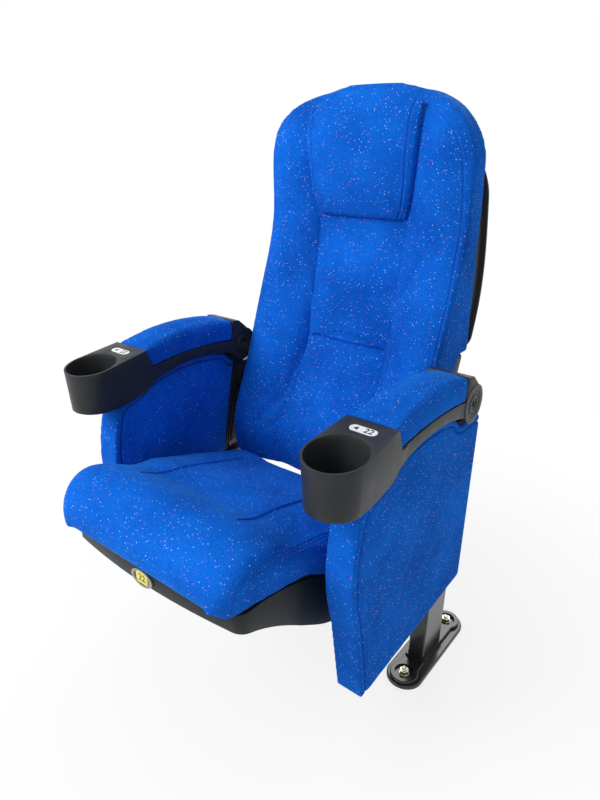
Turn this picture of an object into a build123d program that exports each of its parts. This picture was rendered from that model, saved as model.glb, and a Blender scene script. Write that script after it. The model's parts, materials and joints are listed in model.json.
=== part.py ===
from build123d import *

import os
from math import cos, hypot, radians, sin, sqrt, tan

# Tip up auditorium seat on two standards.
# Millimetres, +Z up. The sitter faces -Y and left is the sitter's left, +X.
# Origin: on the floor, midway between the two feet.

os.makedirs("parts", exist_ok=True)

# ---------------------------------------------------------------- driving dimensions

# Clearances
side_gap = 6.0  # from the seat's and the back's sides to the armrest hubs
skin_gap = 0.3  # between faces that lie against each other
run_gap = 0.3  # between faces that turn past each other
pin_gap = 0.08  # bush bore radius over pin radius
bolt_gap = 0.4  # hole radius over screw radius

# Overall
seat_width = 464.0
back_width = 464.0
hub_width = 84.0
standard_x = max(seat_width, back_width) / 2 + side_gap + hub_width / 2

# Foot and post
foot_length = 264.0
foot_width = 77.0
foot_flange = 8.0
foot_body = 15.0
foot_body_inset = 9.0
foot_waist = 46.0
anchor_spacing = 197.0
anchor_hole_radius = 5.5
anchor_dish_radius = 20.0
anchor_dish_floor = 9.0
post_width = 36.0
post_depth = 84.0
post_wall = 2.5
post_corner = 4.0
post_y = -10.0
post_seat = 6.0  # height of the post's lower end in its socket
socket_wall = 5.0
socket_top = 21.0

# Armrest pivot and the head that carries it
arm_pivot_y = -15.0
arm_pivot_z = 608.0
head_flange = 5.0
head_below_pivot = 53.0
head_plug_length = 30.0
lug_width = 24.0
lug_radius = 28.0
arm_pin_radius = 8.0
arm_bush_wall = 3.0
arm_bush_flange = 1.6
arm_bush_flange_radius = 15.0
post_top = arm_pivot_z - head_below_pivot - head_flange

# Armrest, in offsets from its pivot where y and z are paired
arm_width = 82.0
hub_radius = 37.0
hub_cap_radius = 25.0
hub_cap_depth = 4.0
cup_y = -371.0
cup_radius = 50.0
cup_foot_radius = 44.0
cup_wall = 3.5
cup_rim_z = 38.0
cup_foot_z = -46.0
plate_slope = 8.1
plate_rear_y = -278.0
arm_wall = 3.0
pad_front_low = (-261.0, 12.0)
pad_low_mid = (-135.0, 21.5)
pad_rear_low = (-35.0, 14.0)
pad_top_mid = (-160.0, 76.5)
pad_rear_top = (-31.0, 59.0)
pad_corner = 20.0
arm_low_front = (-262.0, -18.0)
arm_knee = (-284.0, -35.0)
arm_low_mid = (-145.0, 1.0)
arm_low_rear = (-35.0, -16.0)
rear_top_front = (-12.0, 56.0)
rear_top_back = (12.0, 36.0)
core_plate = 4.0
core_web = 3.0
core_front_y = -250.0
core_hub_radius = 18.0
pad_base_thickness = 5.0
label_length = 46.0
label_width = 16.0
label_thickness = 1.0
label_recess = 0.6
label_y = -304.0
arm_screw_radius = 2.5
arm_screw_places = (-205.0, -140.0, -80.0)

# Side panel
panel_width = post_width + 18.0
panel_shift = 4.0  # the panel sits this far outboard of the armrest's middle
panel_bottom = 157.0
panel_bottom_rise = 0.076
panel_front_foot_y = -322.0
panel_front_knee_y = -352.0
panel_front_bulge_y = -371.0
panel_front_top_y = -352.0
panel_rear_y = 55.0
panel_crest_gap = 5.0
panel_notch_radius = 44.0
strip_depth = 13.0
cover_thickness = 12.0
inner_cover_thickness = 4.7
trim_low = (-66.0, 361.0)
trim_high = (-30.0, 563.0)
trim_rear_y = -2.0
tab_length = 40.0
tab_height = 40.0
tab_thickness = 5.0
tab_heights = (230.0, 440.0)
panel_screw_radius = 3.0

# Seat hinge
seat_pivot_y = -130.0
seat_pivot_z = 320.0
# from the standard's middle to the bracket's outer face, clear of the inner panel cover
bracket_outset = panel_width / 2 - panel_shift + skin_gap
bracket_inset = bracket_outset + 7.7  # to the bracket's inner face
hinge_arm_inset = bracket_inset + 9.0  # to the hinge arm's outer face
hinge_arm_thickness = 6.0
seat_bracket_eye = 22.0
seat_pin_radius = 6.0
seat_pin_head_radius = 8.5
seat_bush_wall = 2.5
seat_bush_flange_radius = 11.0
stop_offset = (-38.0, -38.0)
stop_radius = 8.0
bracket_bolt_radius = 4.0
bracket_bolt_places = (-32.0, 12.0)
hinge_bolt_offsets = ((-60.0, -20.0), (-105.0, -28.0))
hinge_bolt_radius = 4.0

# Seat
pan_half_rear = 221.0
pan_half_front = 204.0
pan_front_y = -518.0
pan_corner_y = -502.0
pan_taper_y = -380.0
pan_rear_y = -84.0
pan_wall = 3.5
pan_top = ((-560.0, 390.0), (-518.0, 396.0), (-460.0, 404.0), (-400.0, 401.0))
pan_top_rear = ((-308.0, 366.0), (-200.0, 326.0), (-60.0, 286.0))
pan_low = ((-560.0, 362.0), (-452.0, 349.0), (-355.0, 290.0), (-300.0, 257.0))
pan_low_rear = ((-220.0, 236.0), (-60.0, 232.0))
board_thickness = 10.0
board_margin = 3.0
frame_plate = 6.0
frame_tube_radius = 11.0
frame_tubes = ((-385.0, 364.0), (-290.0, 300.0), (-160.0, 272.0))
pan_screw_radius = 2.5
pan_screw_places = ((70.0, -480.0), (150.0, -440.0))
cushion_slope = 0.284
cushion_level = 357.8
cushion_crown = 7.0
channel_front_y = -415.0
channel_front_x = 120.0
channel_rear_x = 88.0
channel_depth = 4.0
channel_width = 3.0
badge_half_width = 26.0
badge_half_height = 16.0
badge_rim = 6.5
badge_thickness = 3.0

# Back
back_bottom = 370.0
back_height = 770.0
shoulder_radius = 125.0
shoulder_drop = 18.0  # from the crown down to the inner end of a shoulder's arc
back_corner = 30.0
back_skirt = 14.0  # the cushion hangs this far below the back's bottom line
seat_sweep = 81.0  # room round the seat's pivot for the rear of the tipping seat
back_board_line = (
    # share of the back's height, y of the board's front
    (-0.02, 2.0),
    (0.14, 50.0),
    (0.27, 88.0),
    (0.38, 118.0),
    (0.48, 138.0),
    (0.56, 142.0),
    (0.66, 134.0),
    (0.76, 119.0),
    (0.86, 104.0),
    (1.02, 90.0),
)
back_board = 12.0
back_rail = 6.0
lower_cover_depth = 22.0
back_shell_depth = 43.0
shell_wall = 3.0
shell_inset = 10.0  # from the cushion's side to the shell's wall
shell_rim = 4.5  # thickness of the rim behind the cushion's rolled edge
rim_inset = 1.0
lower_cover_inset = 4.0
# Shares of the back's height
shell_low = 0.358
shell_high = 0.931
roll_low = shell_low
lower_cover_low = 0.043
rail_middle = 0.116
rail_shares = (0.43, 0.82)
frame_high = 0.84
pillow_low = 0.686
seam_low = 0.351

# ---------------------------------------------------------------- general helpers


def yz_slab(outline, x_low, x_high):
    """Face outline given in (y, z), drawn out between two x."""
    return extrude(Plane.YZ.offset(x_low) * outline, amount=x_high - x_low)


def yz_disc(centre, radius, x_low, x_high):
    return yz_slab(Pos(*centre) * Circle(radius), x_low, x_high)


def block(x_low, x_high, y_low, y_high, z_low, z_high):
    size = (x_high - x_low, y_high - y_low, z_high - z_low)
    middle = ((x_low + x_high) / 2, (y_low + y_high) / 2, (z_low + z_high) / 2)
    return Pos(*middle) * Box(*size)


def upright_cylinder(x, y, z_low, z_high, radius):
    return Pos(x, y, (z_low + z_high) / 2) * Cylinder(radius, z_high - z_low)


def moved(points, dy, dz):
    return [(y + dy, z + dz) for y, z in points]


def arc_height(start, middle, end):
    """Height of the arc through three (y, z) points, as a function of y."""
    (y1, z1), (y2, z2), (y3, z3) = start, middle, end
    d = 2 * (y1 * (z2 - z3) + y2 * (z3 - z1) + y3 * (z1 - z2))
    s1, s2, s3 = y1**2 + z1**2, y2**2 + z2**2, y3**2 + z3**2
    yc = (s1 * (z2 - z3) + s2 * (z3 - z1) + s3 * (z1 - z2)) / d
    zc = (s1 * (y3 - y2) + s2 * (y1 - y3) + s3 * (y2 - y1)) / d
    radius = hypot(y1 - yc, z1 - zc)
    return lambda y: zc + sqrt(radius**2 - (y - yc) ** 2)


def closed_face(*lines):
    edges = [edge for line in lines for edge in line.edges()]
    return make_face(Wire(edges))


def solids_of(*shapes):
    return [solid for shape in shapes for solid in shape.solids()]


def save(name, *shapes):
    solids = solids_of(*shapes)
    export_step(solids[0] if len(solids) == 1 else Compound(solids), f"parts/{name}.step")


def save_pair(name, left):
    save(f"left_{name}", left)
    save(f"right_{name}", mirror(left, about=Plane.YZ))


def save_both(name, left):
    save(name, left, mirror(left, about=Plane.YZ))


# ---------------------------------------------------------------- feet and posts

post_inner_x = standard_x - post_width / 2
post_outer_x = standard_x + post_width / 2
post_front_y = post_y - post_depth / 2
post_rear_y = post_y + post_depth / 2
anchor_places = (-anchor_spacing / 2, anchor_spacing / 2)


def post_section(grow):
    """The post's outline in plan, made larger all round by grow."""
    corner = max(post_corner + grow, 1.0)
    size = (post_width + 2 * grow, post_depth + 2 * grow)
    return Pos(standard_x, post_y) * RectangleRounded(*size, corner)


def foot_plate():
    flange = extrude(Rot(0, 0, 90) * SlotOverall(foot_length, foot_width), foot_flange)
    flange = fillet(flange.edges().group_by(Axis.Z)[-1], 3)
    body_radius = foot_width / 2 - foot_body_inset
    body_plan = Rectangle(foot_waist, anchor_spacing)
    for y in anchor_places:
        body_plan += Pos(0, y) * Circle(body_radius)
    body = extrude(body_plan, foot_body)
    body = fillet(body.edges().group_by(Axis.Z)[-1], 2)
    foot = Pos(standard_x, 0, 0) * (flange + body)
    foot += extrude(post_section(socket_wall), socket_top)
    foot -= Pos(0, 0, post_seat) * extrude(post_section(skin_gap), socket_top)
    for y in anchor_places:
        dish = upright_cylinder(standard_x, y, anchor_dish_floor, socket_top, anchor_dish_radius)
        hole = upright_cylinder(standard_x, y, -1, foot_body, anchor_hole_radius)
        foot -= dish + hole
    return foot


washer_thickness = 2.0
nut_height = 8.4
nut_across_flats = 17.0


def anchor_washer(y):
    low = anchor_dish_floor
    ring = upright_cylinder(standard_x, y, low, low + washer_thickness, anchor_hole_radius * 1.85)
    hole = upright_cylinder(standard_x, y, 0, 40, anchor_hole_radius - 0.2)
    return ring - hole


def anchor_nut(y):
    low = anchor_dish_floor + washer_thickness
    hexagon = RegularPolygon(nut_across_flats / 2, 6, major_radius=False)
    nut = Pos(standard_x, y, low) * extrude(hexagon, nut_height)
    return nut - upright_cylinder(standard_x, y, 0, 60, anchor_hole_radius - 0.4)


def bracket_bolt_z():
    return seat_pivot_z - 5


def post():
    tube = post_section(0) - post_section(-post_wall)
    body = Pos(0, 0, post_seat) * extrude(tube, post_top - post_seat)
    for z in tab_heights:
        tab = block(
            post_inner_x,
            post_inner_x + tab_thickness,
            post_front_y - tab_length,
            post_front_y + post_wall,
            z - tab_height / 2,
            z + tab_height / 2,
        )
        body += tab
        for y in panel_screw_places():
            body -= yz_disc((y, z), panel_screw_radius + bolt_gap, 0, post_inner_x + 20)
    weld_nut_x = post_inner_x + post_wall
    for y in bracket_bolt_places:
        place = (y, bracket_bolt_z())
        body += yz_disc(place, 8, weld_nut_x, weld_nut_x + 6)
        body -= yz_disc(place, bracket_bolt_radius + skin_gap, 0, standard_x)
    for y, z in back_bolt_places():
        body += yz_disc((y, z), 6.5, weld_nut_x, weld_nut_x + 6)
        body -= yz_disc((y, z), bracket_bolt_radius + skin_gap, 0, standard_x)
    return body


def pivot_head():
    """Flanged head in the post's top, with the lug that carries the armrest."""
    flange = Pos(0, 0, post_top) * extrude(post_section(0), head_flange)
    plug = extrude(post_section(-post_wall - skin_gap), head_plug_length)
    head = flange + Pos(0, 0, post_top - head_plug_length) * plug
    foot_half = lug_radius + 2
    lug_face = Polyline(
        (arm_pivot_y - foot_half, post_top),
        (arm_pivot_y + foot_half, post_top),
        (arm_pivot_y + lug_radius, arm_pivot_z),
        (arm_pivot_y - lug_radius, arm_pivot_z),
        close=True,
    )
    lug_face = make_face(lug_face) + Pos(arm_pivot_y, arm_pivot_z) * Circle(lug_radius)
    head += yz_slab(lug_face, standard_x - lug_width / 2, standard_x + lug_width / 2)
    bore = arm_pin_radius + pin_gap + arm_bush_wall
    return head - yz_disc((arm_pivot_y, arm_pivot_z), bore, 0, 2 * standard_x)


def arm_bushes():
    """Two flanged bushes, one pressed in from each side of the lug."""
    pivot = (arm_pivot_y, arm_pivot_z)
    inner = arm_pin_radius + pin_gap
    half = lug_width / 2
    sleeve = yz_disc(pivot, inner + arm_bush_wall, standard_x + skin_gap, standard_x + half)
    rim = yz_disc(pivot, arm_bush_flange_radius, standard_x + half, standard_x + half + arm_bush_flange)
    outer = sleeve + rim - yz_disc(pivot, inner, 0, 2 * standard_x)
    return [outer, mirror(outer, about=Plane.YZ.offset(standard_x))]


# ---------------------------------------------------------------- side panels

panel_x = standard_x + panel_shift
panel_inner_x = panel_x - panel_width / 2
panel_outer_x = panel_x + panel_width / 2


def panel_screw_places():
    middle = post_front_y - tab_length / 2 - 3
    return (middle - 10, middle + 10)


def panel_outline(overrun=0.0):
    """The panel from the side, its bottom and rear edges moved out by overrun."""
    py, pz = arm_pivot_y, arm_pivot_z
    top = pz - 63.0
    knee = (panel_front_knee_y, panel_bottom + 0.43 * (top - panel_bottom))
    bulge = (panel_front_bulge_y, panel_bottom + 0.77 * (top - panel_bottom))
    front_lean = (panel_front_foot_y - knee[0]) / (panel_bottom - knee[1])
    foot = (panel_front_foot_y - front_lean * overrun, panel_bottom - overrun)
    rear_y = panel_rear_y + overrun
    rear_low = (rear_y, foot[1] + panel_bottom_rise * (rear_y - foot[0]))
    rear_top = (rear_y, pz - 47.0)
    notch = [
        (py + panel_notch_radius * sin(radians(turn)), pz - panel_notch_radius * cos(radians(turn)))
        for turn in (0, -30, -58)
    ]
    front_top = (panel_front_top_y, top)
    under_arm = moved(((arm_low_rear[0] - 8, arm_low_rear[1] + 3), arm_low_mid, arm_low_front), py, pz)
    crest = moved(under_arm, 0, -panel_crest_gap)
    under_cup = moved((arm_knee, (cup_y + 50, cup_foot_z + 1)), py, pz - panel_crest_gap)
    return closed_face(
        ThreePointArc(front_top, bulge, knee),
        Line(knee, foot),
        Line(foot, rear_low),
        Line(rear_low, rear_top),
        Line(rear_top, notch[0]),
        ThreePointArc(*notch),
        Line(notch[2], crest[0]),
        ThreePointArc(*crest),
        Line(crest[2], under_cup[0]),
        Line(under_cup[0], under_cup[1]),
        Line(under_cup[1], front_top),
    )


def panel_field():
    """The panel's outline within the strip that runs round its front and top."""
    inside = offset(panel_outline(2 * strip_depth), amount=-strip_depth, kind=Kind.INTERSECTION)
    return inside & panel_outline()


def behind_line(shift):
    """Everything behind the leaning rear edge of the inner cover, moved back by shift."""
    (y1, z1), (y2, z2) = moved((trim_low, trim_high), shift, 0)
    lean = (y2 - y1) / (z2 - z1)
    reach = 2 * arm_pivot_z
    return make_face(
        Polyline(
            (y1, 0),
            (y1, z1),
            (y1 + lean * (reach - z1), reach),
            (500, reach),
            (500, 0),
            close=True,
        )
    )


def panel_strip():
    band = panel_outline() - panel_field()
    strip = yz_slab(band, panel_inner_x + 0.5, panel_outer_x - 0.5)
    post_room = block(
        post_inner_x - 1, post_outer_x + 1, post_front_y - 2, 200, 0, arm_pivot_z
    )
    rear_room = yz_slab(behind_line(0), 0, post_outer_x + 1)
    return strip - post_room - rear_room


def panel_outer_cover():
    cover = yz_slab(panel_field(), panel_outer_x - cover_thickness, panel_outer_x)
    return fillet(cover.faces().sort_by(Axis.X)[-1].edges(), 3)


def panel_inner_cover():
    face = panel_field() - behind_line(0)
    cover = yz_slab(face, panel_inner_x, panel_inner_x + inner_cover_thickness)
    return fillet(cover.faces().sort_by(Axis.X)[0].edges(), 1.5)


def panel_core():
    low = panel_inner_x + inner_cover_thickness + skin_gap
    high = panel_outer_x - cover_thickness - skin_gap
    face = panel_field() & (Pos(post_front_y - 2 - 300, 600) * Rectangle(600, 1200))
    core = yz_slab(face, low, high)
    for z in tab_heights:
        core -= block(
            0,
            post_inner_x + tab_thickness + skin_gap,
            post_front_y - tab_length - 1,
            0,
            z - tab_height / 2 - 1,
            z + tab_height / 2 + 1,
        )
        for y in panel_screw_places():
            core -= yz_disc((y, z), panel_screw_radius + 0.05, 0, post_inner_x + 22)
    return core


def panel_screws():
    """Countersunk screws from the post's tabs into the panel's board."""
    screws = []
    for z in tab_heights:
        for y in panel_screw_places():
            shank = yz_disc((y, z), panel_screw_radius, post_inner_x, post_inner_x + 21)
            screws.append(shank)
    return screws


def post_trim():
    """Ribbed trim on the post's inner face, behind the inner cover's leaning edge."""
    low_z = trim_low[1] + 2
    high_z = post_top - 2
    window = make_face(
        Polyline(
            (-200, low_z),
            (trim_rear_y, low_z),
            (trim_rear_y, high_z),
            (-200, high_z),
            close=True,
        )
    )
    face = behind_line(1.0) & window
    base_x = post_inner_x - skin_gap
    trim = yz_slab(face, base_x - 2, base_x)
    for shift in (1.0, 10.0, 19.0):
        rib = (behind_line(shift) - behind_line(shift + 5)) & window
        trim += yz_slab(rib, base_x - 4.5, base_x - 1)
    return trim


# ---------------------------------------------------------------- seat hinge

hinge_outer_x = standard_x - hinge_arm_inset
hinge_inner_x = hinge_outer_x - hinge_arm_thickness
bracket_inner_x = standard_x - bracket_inset
bracket_outer_x = standard_x - bracket_outset
seat_pivot = (seat_pivot_y, seat_pivot_z)
stop_place = (seat_pivot_y + stop_offset[0], seat_pivot_z + stop_offset[1])


def hull_face(*discs):
    """Outline drawn tight round discs given as (centre, radius)."""
    rings = [Pos(*centre) * Circle(radius) for centre, radius in discs]
    return make_hull([edge for ring in rings for edge in ring.edges()])


def seat_bracket():
    """Plate bolted to the post, reaching forward to the pin and down to the stop."""
    low = bracket_bolt_z() - 27
    high = bracket_bolt_z() + 27
    rear = bracket_bolt_places[1] + 14
    pivot_edge = seat_bracket_eye - 3
    stop_edge = stop_radius + 1
    outline = Polyline(
        (rear, low),
        (rear, high),
        (seat_pivot_y, seat_pivot_z + pivot_edge),
        (seat_pivot_y - pivot_edge, seat_pivot_z),
        (stop_place[0] - stop_edge, stop_place[1]),
        (stop_place[0], stop_place[1] - stop_edge),
        close=True,
    )
    face = make_face(outline)
    face = fillet(face.vertices().group_by(Axis.X)[-1], 6)
    face += Pos(*seat_pivot) * Circle(seat_bracket_eye)
    face += Pos(*stop_place) * Circle(stop_radius + 4)
    behind_front = Pos(post_front_y + 2 + 150, bracket_bolt_z()) * Rectangle(300, 300)
    bracket = yz_slab(face, bracket_inner_x, bracket_outer_x)
    bracket += yz_slab(face & behind_front, bracket_outer_x, post_inner_x)
    for y in bracket_bolt_places:
        bracket -= yz_disc((y, bracket_bolt_z()), bracket_bolt_radius + bolt_gap, 0, standard_x)
    bracket -= yz_disc(seat_pivot, seat_pin_radius, 0, standard_x)
    return bracket - yz_disc(stop_place, 3, 0, standard_x)


def bracket_bolts():
    bolts = []
    for y in bracket_bolt_places:
        place = (y, bracket_bolt_z())
        shank = yz_disc(place, bracket_bolt_radius, bracket_inner_x, post_inner_x + 12)
        head = RegularPolygon(6.5, 6, major_radius=False)
        cap = yz_slab(Pos(*place) * head, bracket_inner_x - 5, bracket_inner_x)
        bolts.append(cap + shank)
    return bolts


def seat_pin():
    head_x = hinge_inner_x - 3.7
    head = yz_disc(seat_pivot, seat_pin_head_radius, head_x, head_x + 3)
    return head + yz_disc(seat_pivot, seat_pin_radius, head_x, bracket_outer_x)


def seat_bush():
    inner = seat_pin_radius + pin_gap
    sleeve = yz_disc(seat_pivot, inner + seat_bush_wall, hinge_inner_x, hinge_outer_x)
    rim = yz_disc(seat_pivot, seat_bush_flange_radius, hinge_outer_x, hinge_outer_x + 1)
    return sleeve + rim - yz_disc(seat_pivot, inner, 0, standard_x)


def seat_spring():
    """Counterbalance spring round the pin, kept as a sleeve of its outer size."""
    low = hinge_outer_x + 1 + run_gap
    sleeve = yz_disc(seat_pivot, 13, low, bracket_inner_x - run_gap)
    return sleeve - yz_disc(seat_pivot, 9.5, 0, standard_x)


def stop_bumper():
    bumper = yz_disc(stop_place, stop_radius, hinge_inner_x + 1, bracket_inner_x)
    return bumper + yz_disc(stop_place, 3, hinge_inner_x + 1, bracket_outer_x)


def hinge_arm():
    """Arm on the seat's side, from the pivot down to the pan's side."""
    bolts = [(seat_pivot_y + dy, seat_pivot_z + dz) for dy, dz in hinge_bolt_offsets]
    face = hull_face((seat_pivot, 18), (bolts[1], 14))
    arm = yz_slab(face, hinge_inner_x, hinge_outer_x)
    for place in bolts:
        arm += yz_disc(place, 10, pan_half_rear + skin_gap, hinge_inner_x)
        arm -= yz_disc(place, hinge_bolt_radius + bolt_gap, 0, standard_x)
    room = yz_disc(stop_place, stop_radius + run_gap, 0, standard_x)
    bore = yz_disc(seat_pivot, seat_pin_radius + pin_gap + seat_bush_wall, 0, standard_x)
    return arm - room - bore


def hinge_bolts():
    bolts = []
    frame_x = pan_half_rear - pan_wall - skin_gap - frame_plate
    for dy, dz in hinge_bolt_offsets:
        place = (seat_pivot_y + dy, seat_pivot_z + dz)
        shank = yz_disc(place, hinge_bolt_radius, frame_x - 2, hinge_outer_x)
        head = yz_disc(place, 6, hinge_outer_x, hinge_outer_x + 3)
        bolts.append(head + shank)
    return bolts


# ---------------------------------------------------------------- seat


def pan_top_points():
    return pan_top + pan_top_rear


def above_parting(drop):
    """Everything above the line where cushion and pan part, lowered by drop."""
    line = Spline(*moved(pan_top_points(), 0, -drop))
    first, last = line @ 0, line @ 1
    roof = first.Y + 400
    return closed_face(
        line,
        Line(last, (last.X, roof)),
        Line((last.X, roof), (first.X, roof)),
        Line((first.X, roof), first),
    )


def above_pan_floor(rise):
    line = Spline(*moved(pan_low + pan_low_rear, 0, rise))
    first, last = line @ 0, line @ 1
    roof = first.Y + 400
    return closed_face(
        line,
        Line(last, (last.X, roof)),
        Line((last.X, roof), (first.X, roof)),
        Line((first.X, roof), first),
    )


def pan_plan(inset):
    """The pan from above, with its sides and bowed front moved in by inset."""
    rear = pan_half_rear - inset
    front = pan_half_front - inset
    corner_y = pan_corner_y + inset
    front_y = pan_front_y + inset
    rear_y = pan_rear_y - inset
    plan = closed_face(
        Line((-rear, rear_y), (rear, rear_y)),
        Line((rear, rear_y), (rear, pan_taper_y)),
        Line((rear, pan_taper_y), (front, corner_y)),
        ThreePointArc((front, corner_y), (0, front_y), (-front, corner_y)),
        Line((-front, corner_y), (-rear, pan_taper_y)),
        Line((-rear, pan_taper_y), (-rear, rear_y)),
    )
    corners = plan.vertices().group_by(Axis.Y)[0]
    return fillet(corners, 22 - inset)


def pan_body(inset, drop):
    """Space inside the pan's sides, over its floor and under the parting line."""
    body = extrude(pan_plan(inset), 900)
    reach = pan_half_rear + 50
    body &= yz_slab(above_pan_floor(inset), -reach, reach)
    return body - yz_slab(above_parting(drop), -reach, reach)


def seat_pan():
    pan = pan_body(0, 0) - pan_body(pan_wall, -20)
    for x, y in pan_screw_spots():
        boss = upright_cylinder(x, y, 200, 600, 7)
        boss &= pan_body(pan_wall - 1, board_thickness + skin_gap)
        pan += boss
        pan -= upright_cylinder(x, y, 200, 600, pan_screw_radius + bolt_gap)
        pan -= upright_cylinder(x, y, 200, pan_screw_seat(y), 5.5)
    for dy, dz in hinge_bolt_offsets:
        place = (seat_pivot_y + dy, seat_pivot_z + dz)
        pan -= yz_disc(place, hinge_bolt_radius + bolt_gap, -standard_x, standard_x)
    return pan


def pan_floor_z(y):
    """Height of the pan's underside at y, between its two nearest named points."""
    points = pan_low + pan_low_rear
    for (y1, z1), (y2, z2) in zip(points, points[1:]):
        if y1 <= y <= y2:
            return z1 + (z2 - z1) * (y - y1) / (y2 - y1)
    return points[-1][1]


def pan_screw_seat(y):
    """Height of the sunk seat under a pan screw's head."""
    return pan_floor_z(y) + 8


def pan_screw_spots():
    return [(side * x, y) for x, y in pan_screw_places for side in (-1, 1)]


def pan_screws():
    screws = []
    for x, y in pan_screw_spots():
        low = pan_screw_seat(y)
        head = upright_cylinder(x, y, low - 4, low, 4.6)
        shank = upright_cylinder(x, y, low, board_underside(y) + 6, pan_screw_radius)
        screws.append(head + shank)
    return screws


def board_underside(y):
    points = pan_top_points()
    for (y1, z1), (y2, z2) in zip(points, points[1:]):
        if y1 <= y <= y2:
            return z1 + (z2 - z1) * (y - y1) / (y2 - y1) - board_thickness
    return points[-1][1] - board_thickness


def seat_board():
    """Plywood under the cushion, let into the pan's rim."""
    inset = pan_wall + board_margin
    board = Pos(0, 0, 0) * extrude(pan_plan(inset), 900)
    reach = pan_half_rear + 50
    board &= yz_slab(above_parting(board_thickness), -reach, reach)
    board -= yz_slab(above_parting(0), -reach, reach)
    for x, y in pan_screw_spots():
        board -= upright_cylinder(x, y, 0, board_underside(y) + 7, pan_screw_radius + 0.1)
    return board


def seat_frame():
    """Two side plates under the board, joined by cross tubes."""
    outer = pan_half_rear - pan_wall - skin_gap
    front_y = pan_taper_y - 20
    lower = make_face(
        Polyline(
            (front_y, 360),
            (-300, 285),
            (-240, 262),
            (-120, 250),
            (-120, 500),
            (front_y, 500),
            close=True,
        )
    )
    face = lower - above_parting(board_thickness + skin_gap)
    plate = yz_slab(face, outer - frame_plate, outer)
    plate = plate & pan_body(pan_wall + skin_gap, 0)
    for dy, dz in hinge_bolt_offsets:
        place = (seat_pivot_y + dy, seat_pivot_z + dz)
        plate -= yz_disc(place, hinge_bolt_radius + bolt_gap, 0, standard_x)
    frame = plate + mirror(plate, about=Plane.YZ)
    for y, z in frame_tubes:
        reach = outer - frame_plate / 2
        tube = yz_disc((y, z), frame_tube_radius, -reach, reach)
        frame += tube - yz_disc((y, z), frame_tube_radius - 2, -reach + 10, reach - 10)
    return frame


def cushion_top(y):
    return cushion_level - cushion_slope * y


def cushion_section(y, half, low, high, tuck, crown):
    """Section of the seat cushion across its width at y."""
    middle = high - 36
    edge = half - 26
    return Plane(origin=(0, y, 0), x_dir=(1, 0, 0), z_dir=(0, -1, 0)) * closed_face(
        Line((-half + tuck, low), (half - tuck, low)),
        Line((half - tuck, low), (half, middle)),
        ThreePointArc((half, middle), (half - 6, high - 12), (edge, high - 2)),
        ThreePointArc((edge, high - 2), (0, high + crown), (-edge, high - 2)),
        ThreePointArc((-edge, high - 2), (-half + 6, high - 12), (-half, middle)),
        Line((-half, middle), (-half + tuck, low)),
    )


def seat_cushion():
    half = seat_width / 2
    sections = [
        cushion_section(pan_rear_y + 2, half - 4, 250, cushion_top(-82) - 4, 8, cushion_crown),
        cushion_section(-200, half - 4, 290, cushion_top(-200), 8, cushion_crown),
        cushion_section(-320, half, 345, cushion_top(-320), 12, cushion_crown),
        cushion_section(-420, half - 7, 385, cushion_top(-420) + 3, 12, cushion_crown),
        cushion_section(-480, half - 15, 392, cushion_top(-480) + 1, 14, cushion_crown),
        cushion_section(-515, half - 27, 396, cushion_top(-480) - 12, 12, 5),
        cushion_section(-534, half - 42, 414, cushion_top(-480) - 33, 8, 3),
        cushion_section(-541, half - 62, 430, cushion_top(-480) - 50, 5, 1),
    ]
    cushion = loft(sections[:3], ruled=True) + loft(sections[2:])
    reach = half + 50
    body = cushion & yz_slab(above_parting(-skin_gap), -reach, reach)
    return body - channel_grooves(cushion)


def channel_grooves(cushion):
    """Two sewn channels, as deep as the cushion lies over its own lowered copy."""
    grooves = None
    for side in (-1, 1):
        front = (side * channel_front_x, channel_front_y)
        rear = (side * channel_rear_x, pan_rear_y + 10)
        run = hypot(front[0] - rear[0], front[1] - rear[1])
        nx = (rear[1] - front[1]) / run * channel_width / 2
        ny = -(rear[0] - front[0]) / run * channel_width / 2
        strip = make_face(
            Polyline(
                (front[0] - nx, front[1] - ny),
                (front[0] + nx, front[1] + ny),
                (rear[0] + nx, rear[1] + ny),
                (rear[0] - nx, rear[1] - ny),
                close=True,
            )
        )
        wall = Pos(0, 0, seat_pivot_z + 30) * extrude(strip, 300)
        groove = wall - Pos(0, 0, -channel_depth) * cushion
        grooves = groove if grooves is None else grooves + groove
    return grooves


badge_plane = Plane(origin=(0, pan_front_y, 378), x_dir=(1, 0, 0), z_dir=(0, -1, 0))


def number_badge():
    rim = Ellipse(badge_half_width, badge_half_height)
    field = Ellipse(badge_half_width - badge_rim, badge_half_height - badge_rim / 2)
    badge = extrude(badge_plane * rim, badge_thickness)
    return badge - extrude(badge_plane.offset(1) * field, badge_thickness)


def badge_plate():
    field = Ellipse(
        badge_half_width - badge_rim - skin_gap,
        badge_half_height - badge_rim / 2 - skin_gap,
    )
    return extrude(badge_plane.offset(1) * field, 1.2)


# ---------------------------------------------------------------- back

back_top = back_bottom + back_height
back_half = back_width / 2


def back_z(share):
    return back_bottom + share * back_height


def back_front_outline(inset, low, high):
    """The back from the front: straight sides, rounded shoulders, moved in by inset."""
    half = back_half - inset
    radius = shoulder_radius - inset
    crown = high - inset
    arc_top = crown - shoulder_drop
    spring = arc_top - radius
    foot = low + inset
    lean = radius * cos(radians(45))
    outline = closed_face(
        Line((-half, foot), (half, foot)),
        Line((half, foot), (half, spring)),
        ThreePointArc(
            (half, spring), (half - radius + lean, spring + lean), (half - radius, arc_top)
        ),
        ThreePointArc((half - radius, arc_top), (0, crown), (radius - half, arc_top)),
        ThreePointArc(
            (radius - half, arc_top), (radius - half - lean, spring + lean), (-half, spring)
        ),
        Line((-half, spring), (-half, foot)),
    )
    return fillet(outline.vertices().group_by(Axis.Y)[0], max(back_corner - inset, 2))


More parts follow.
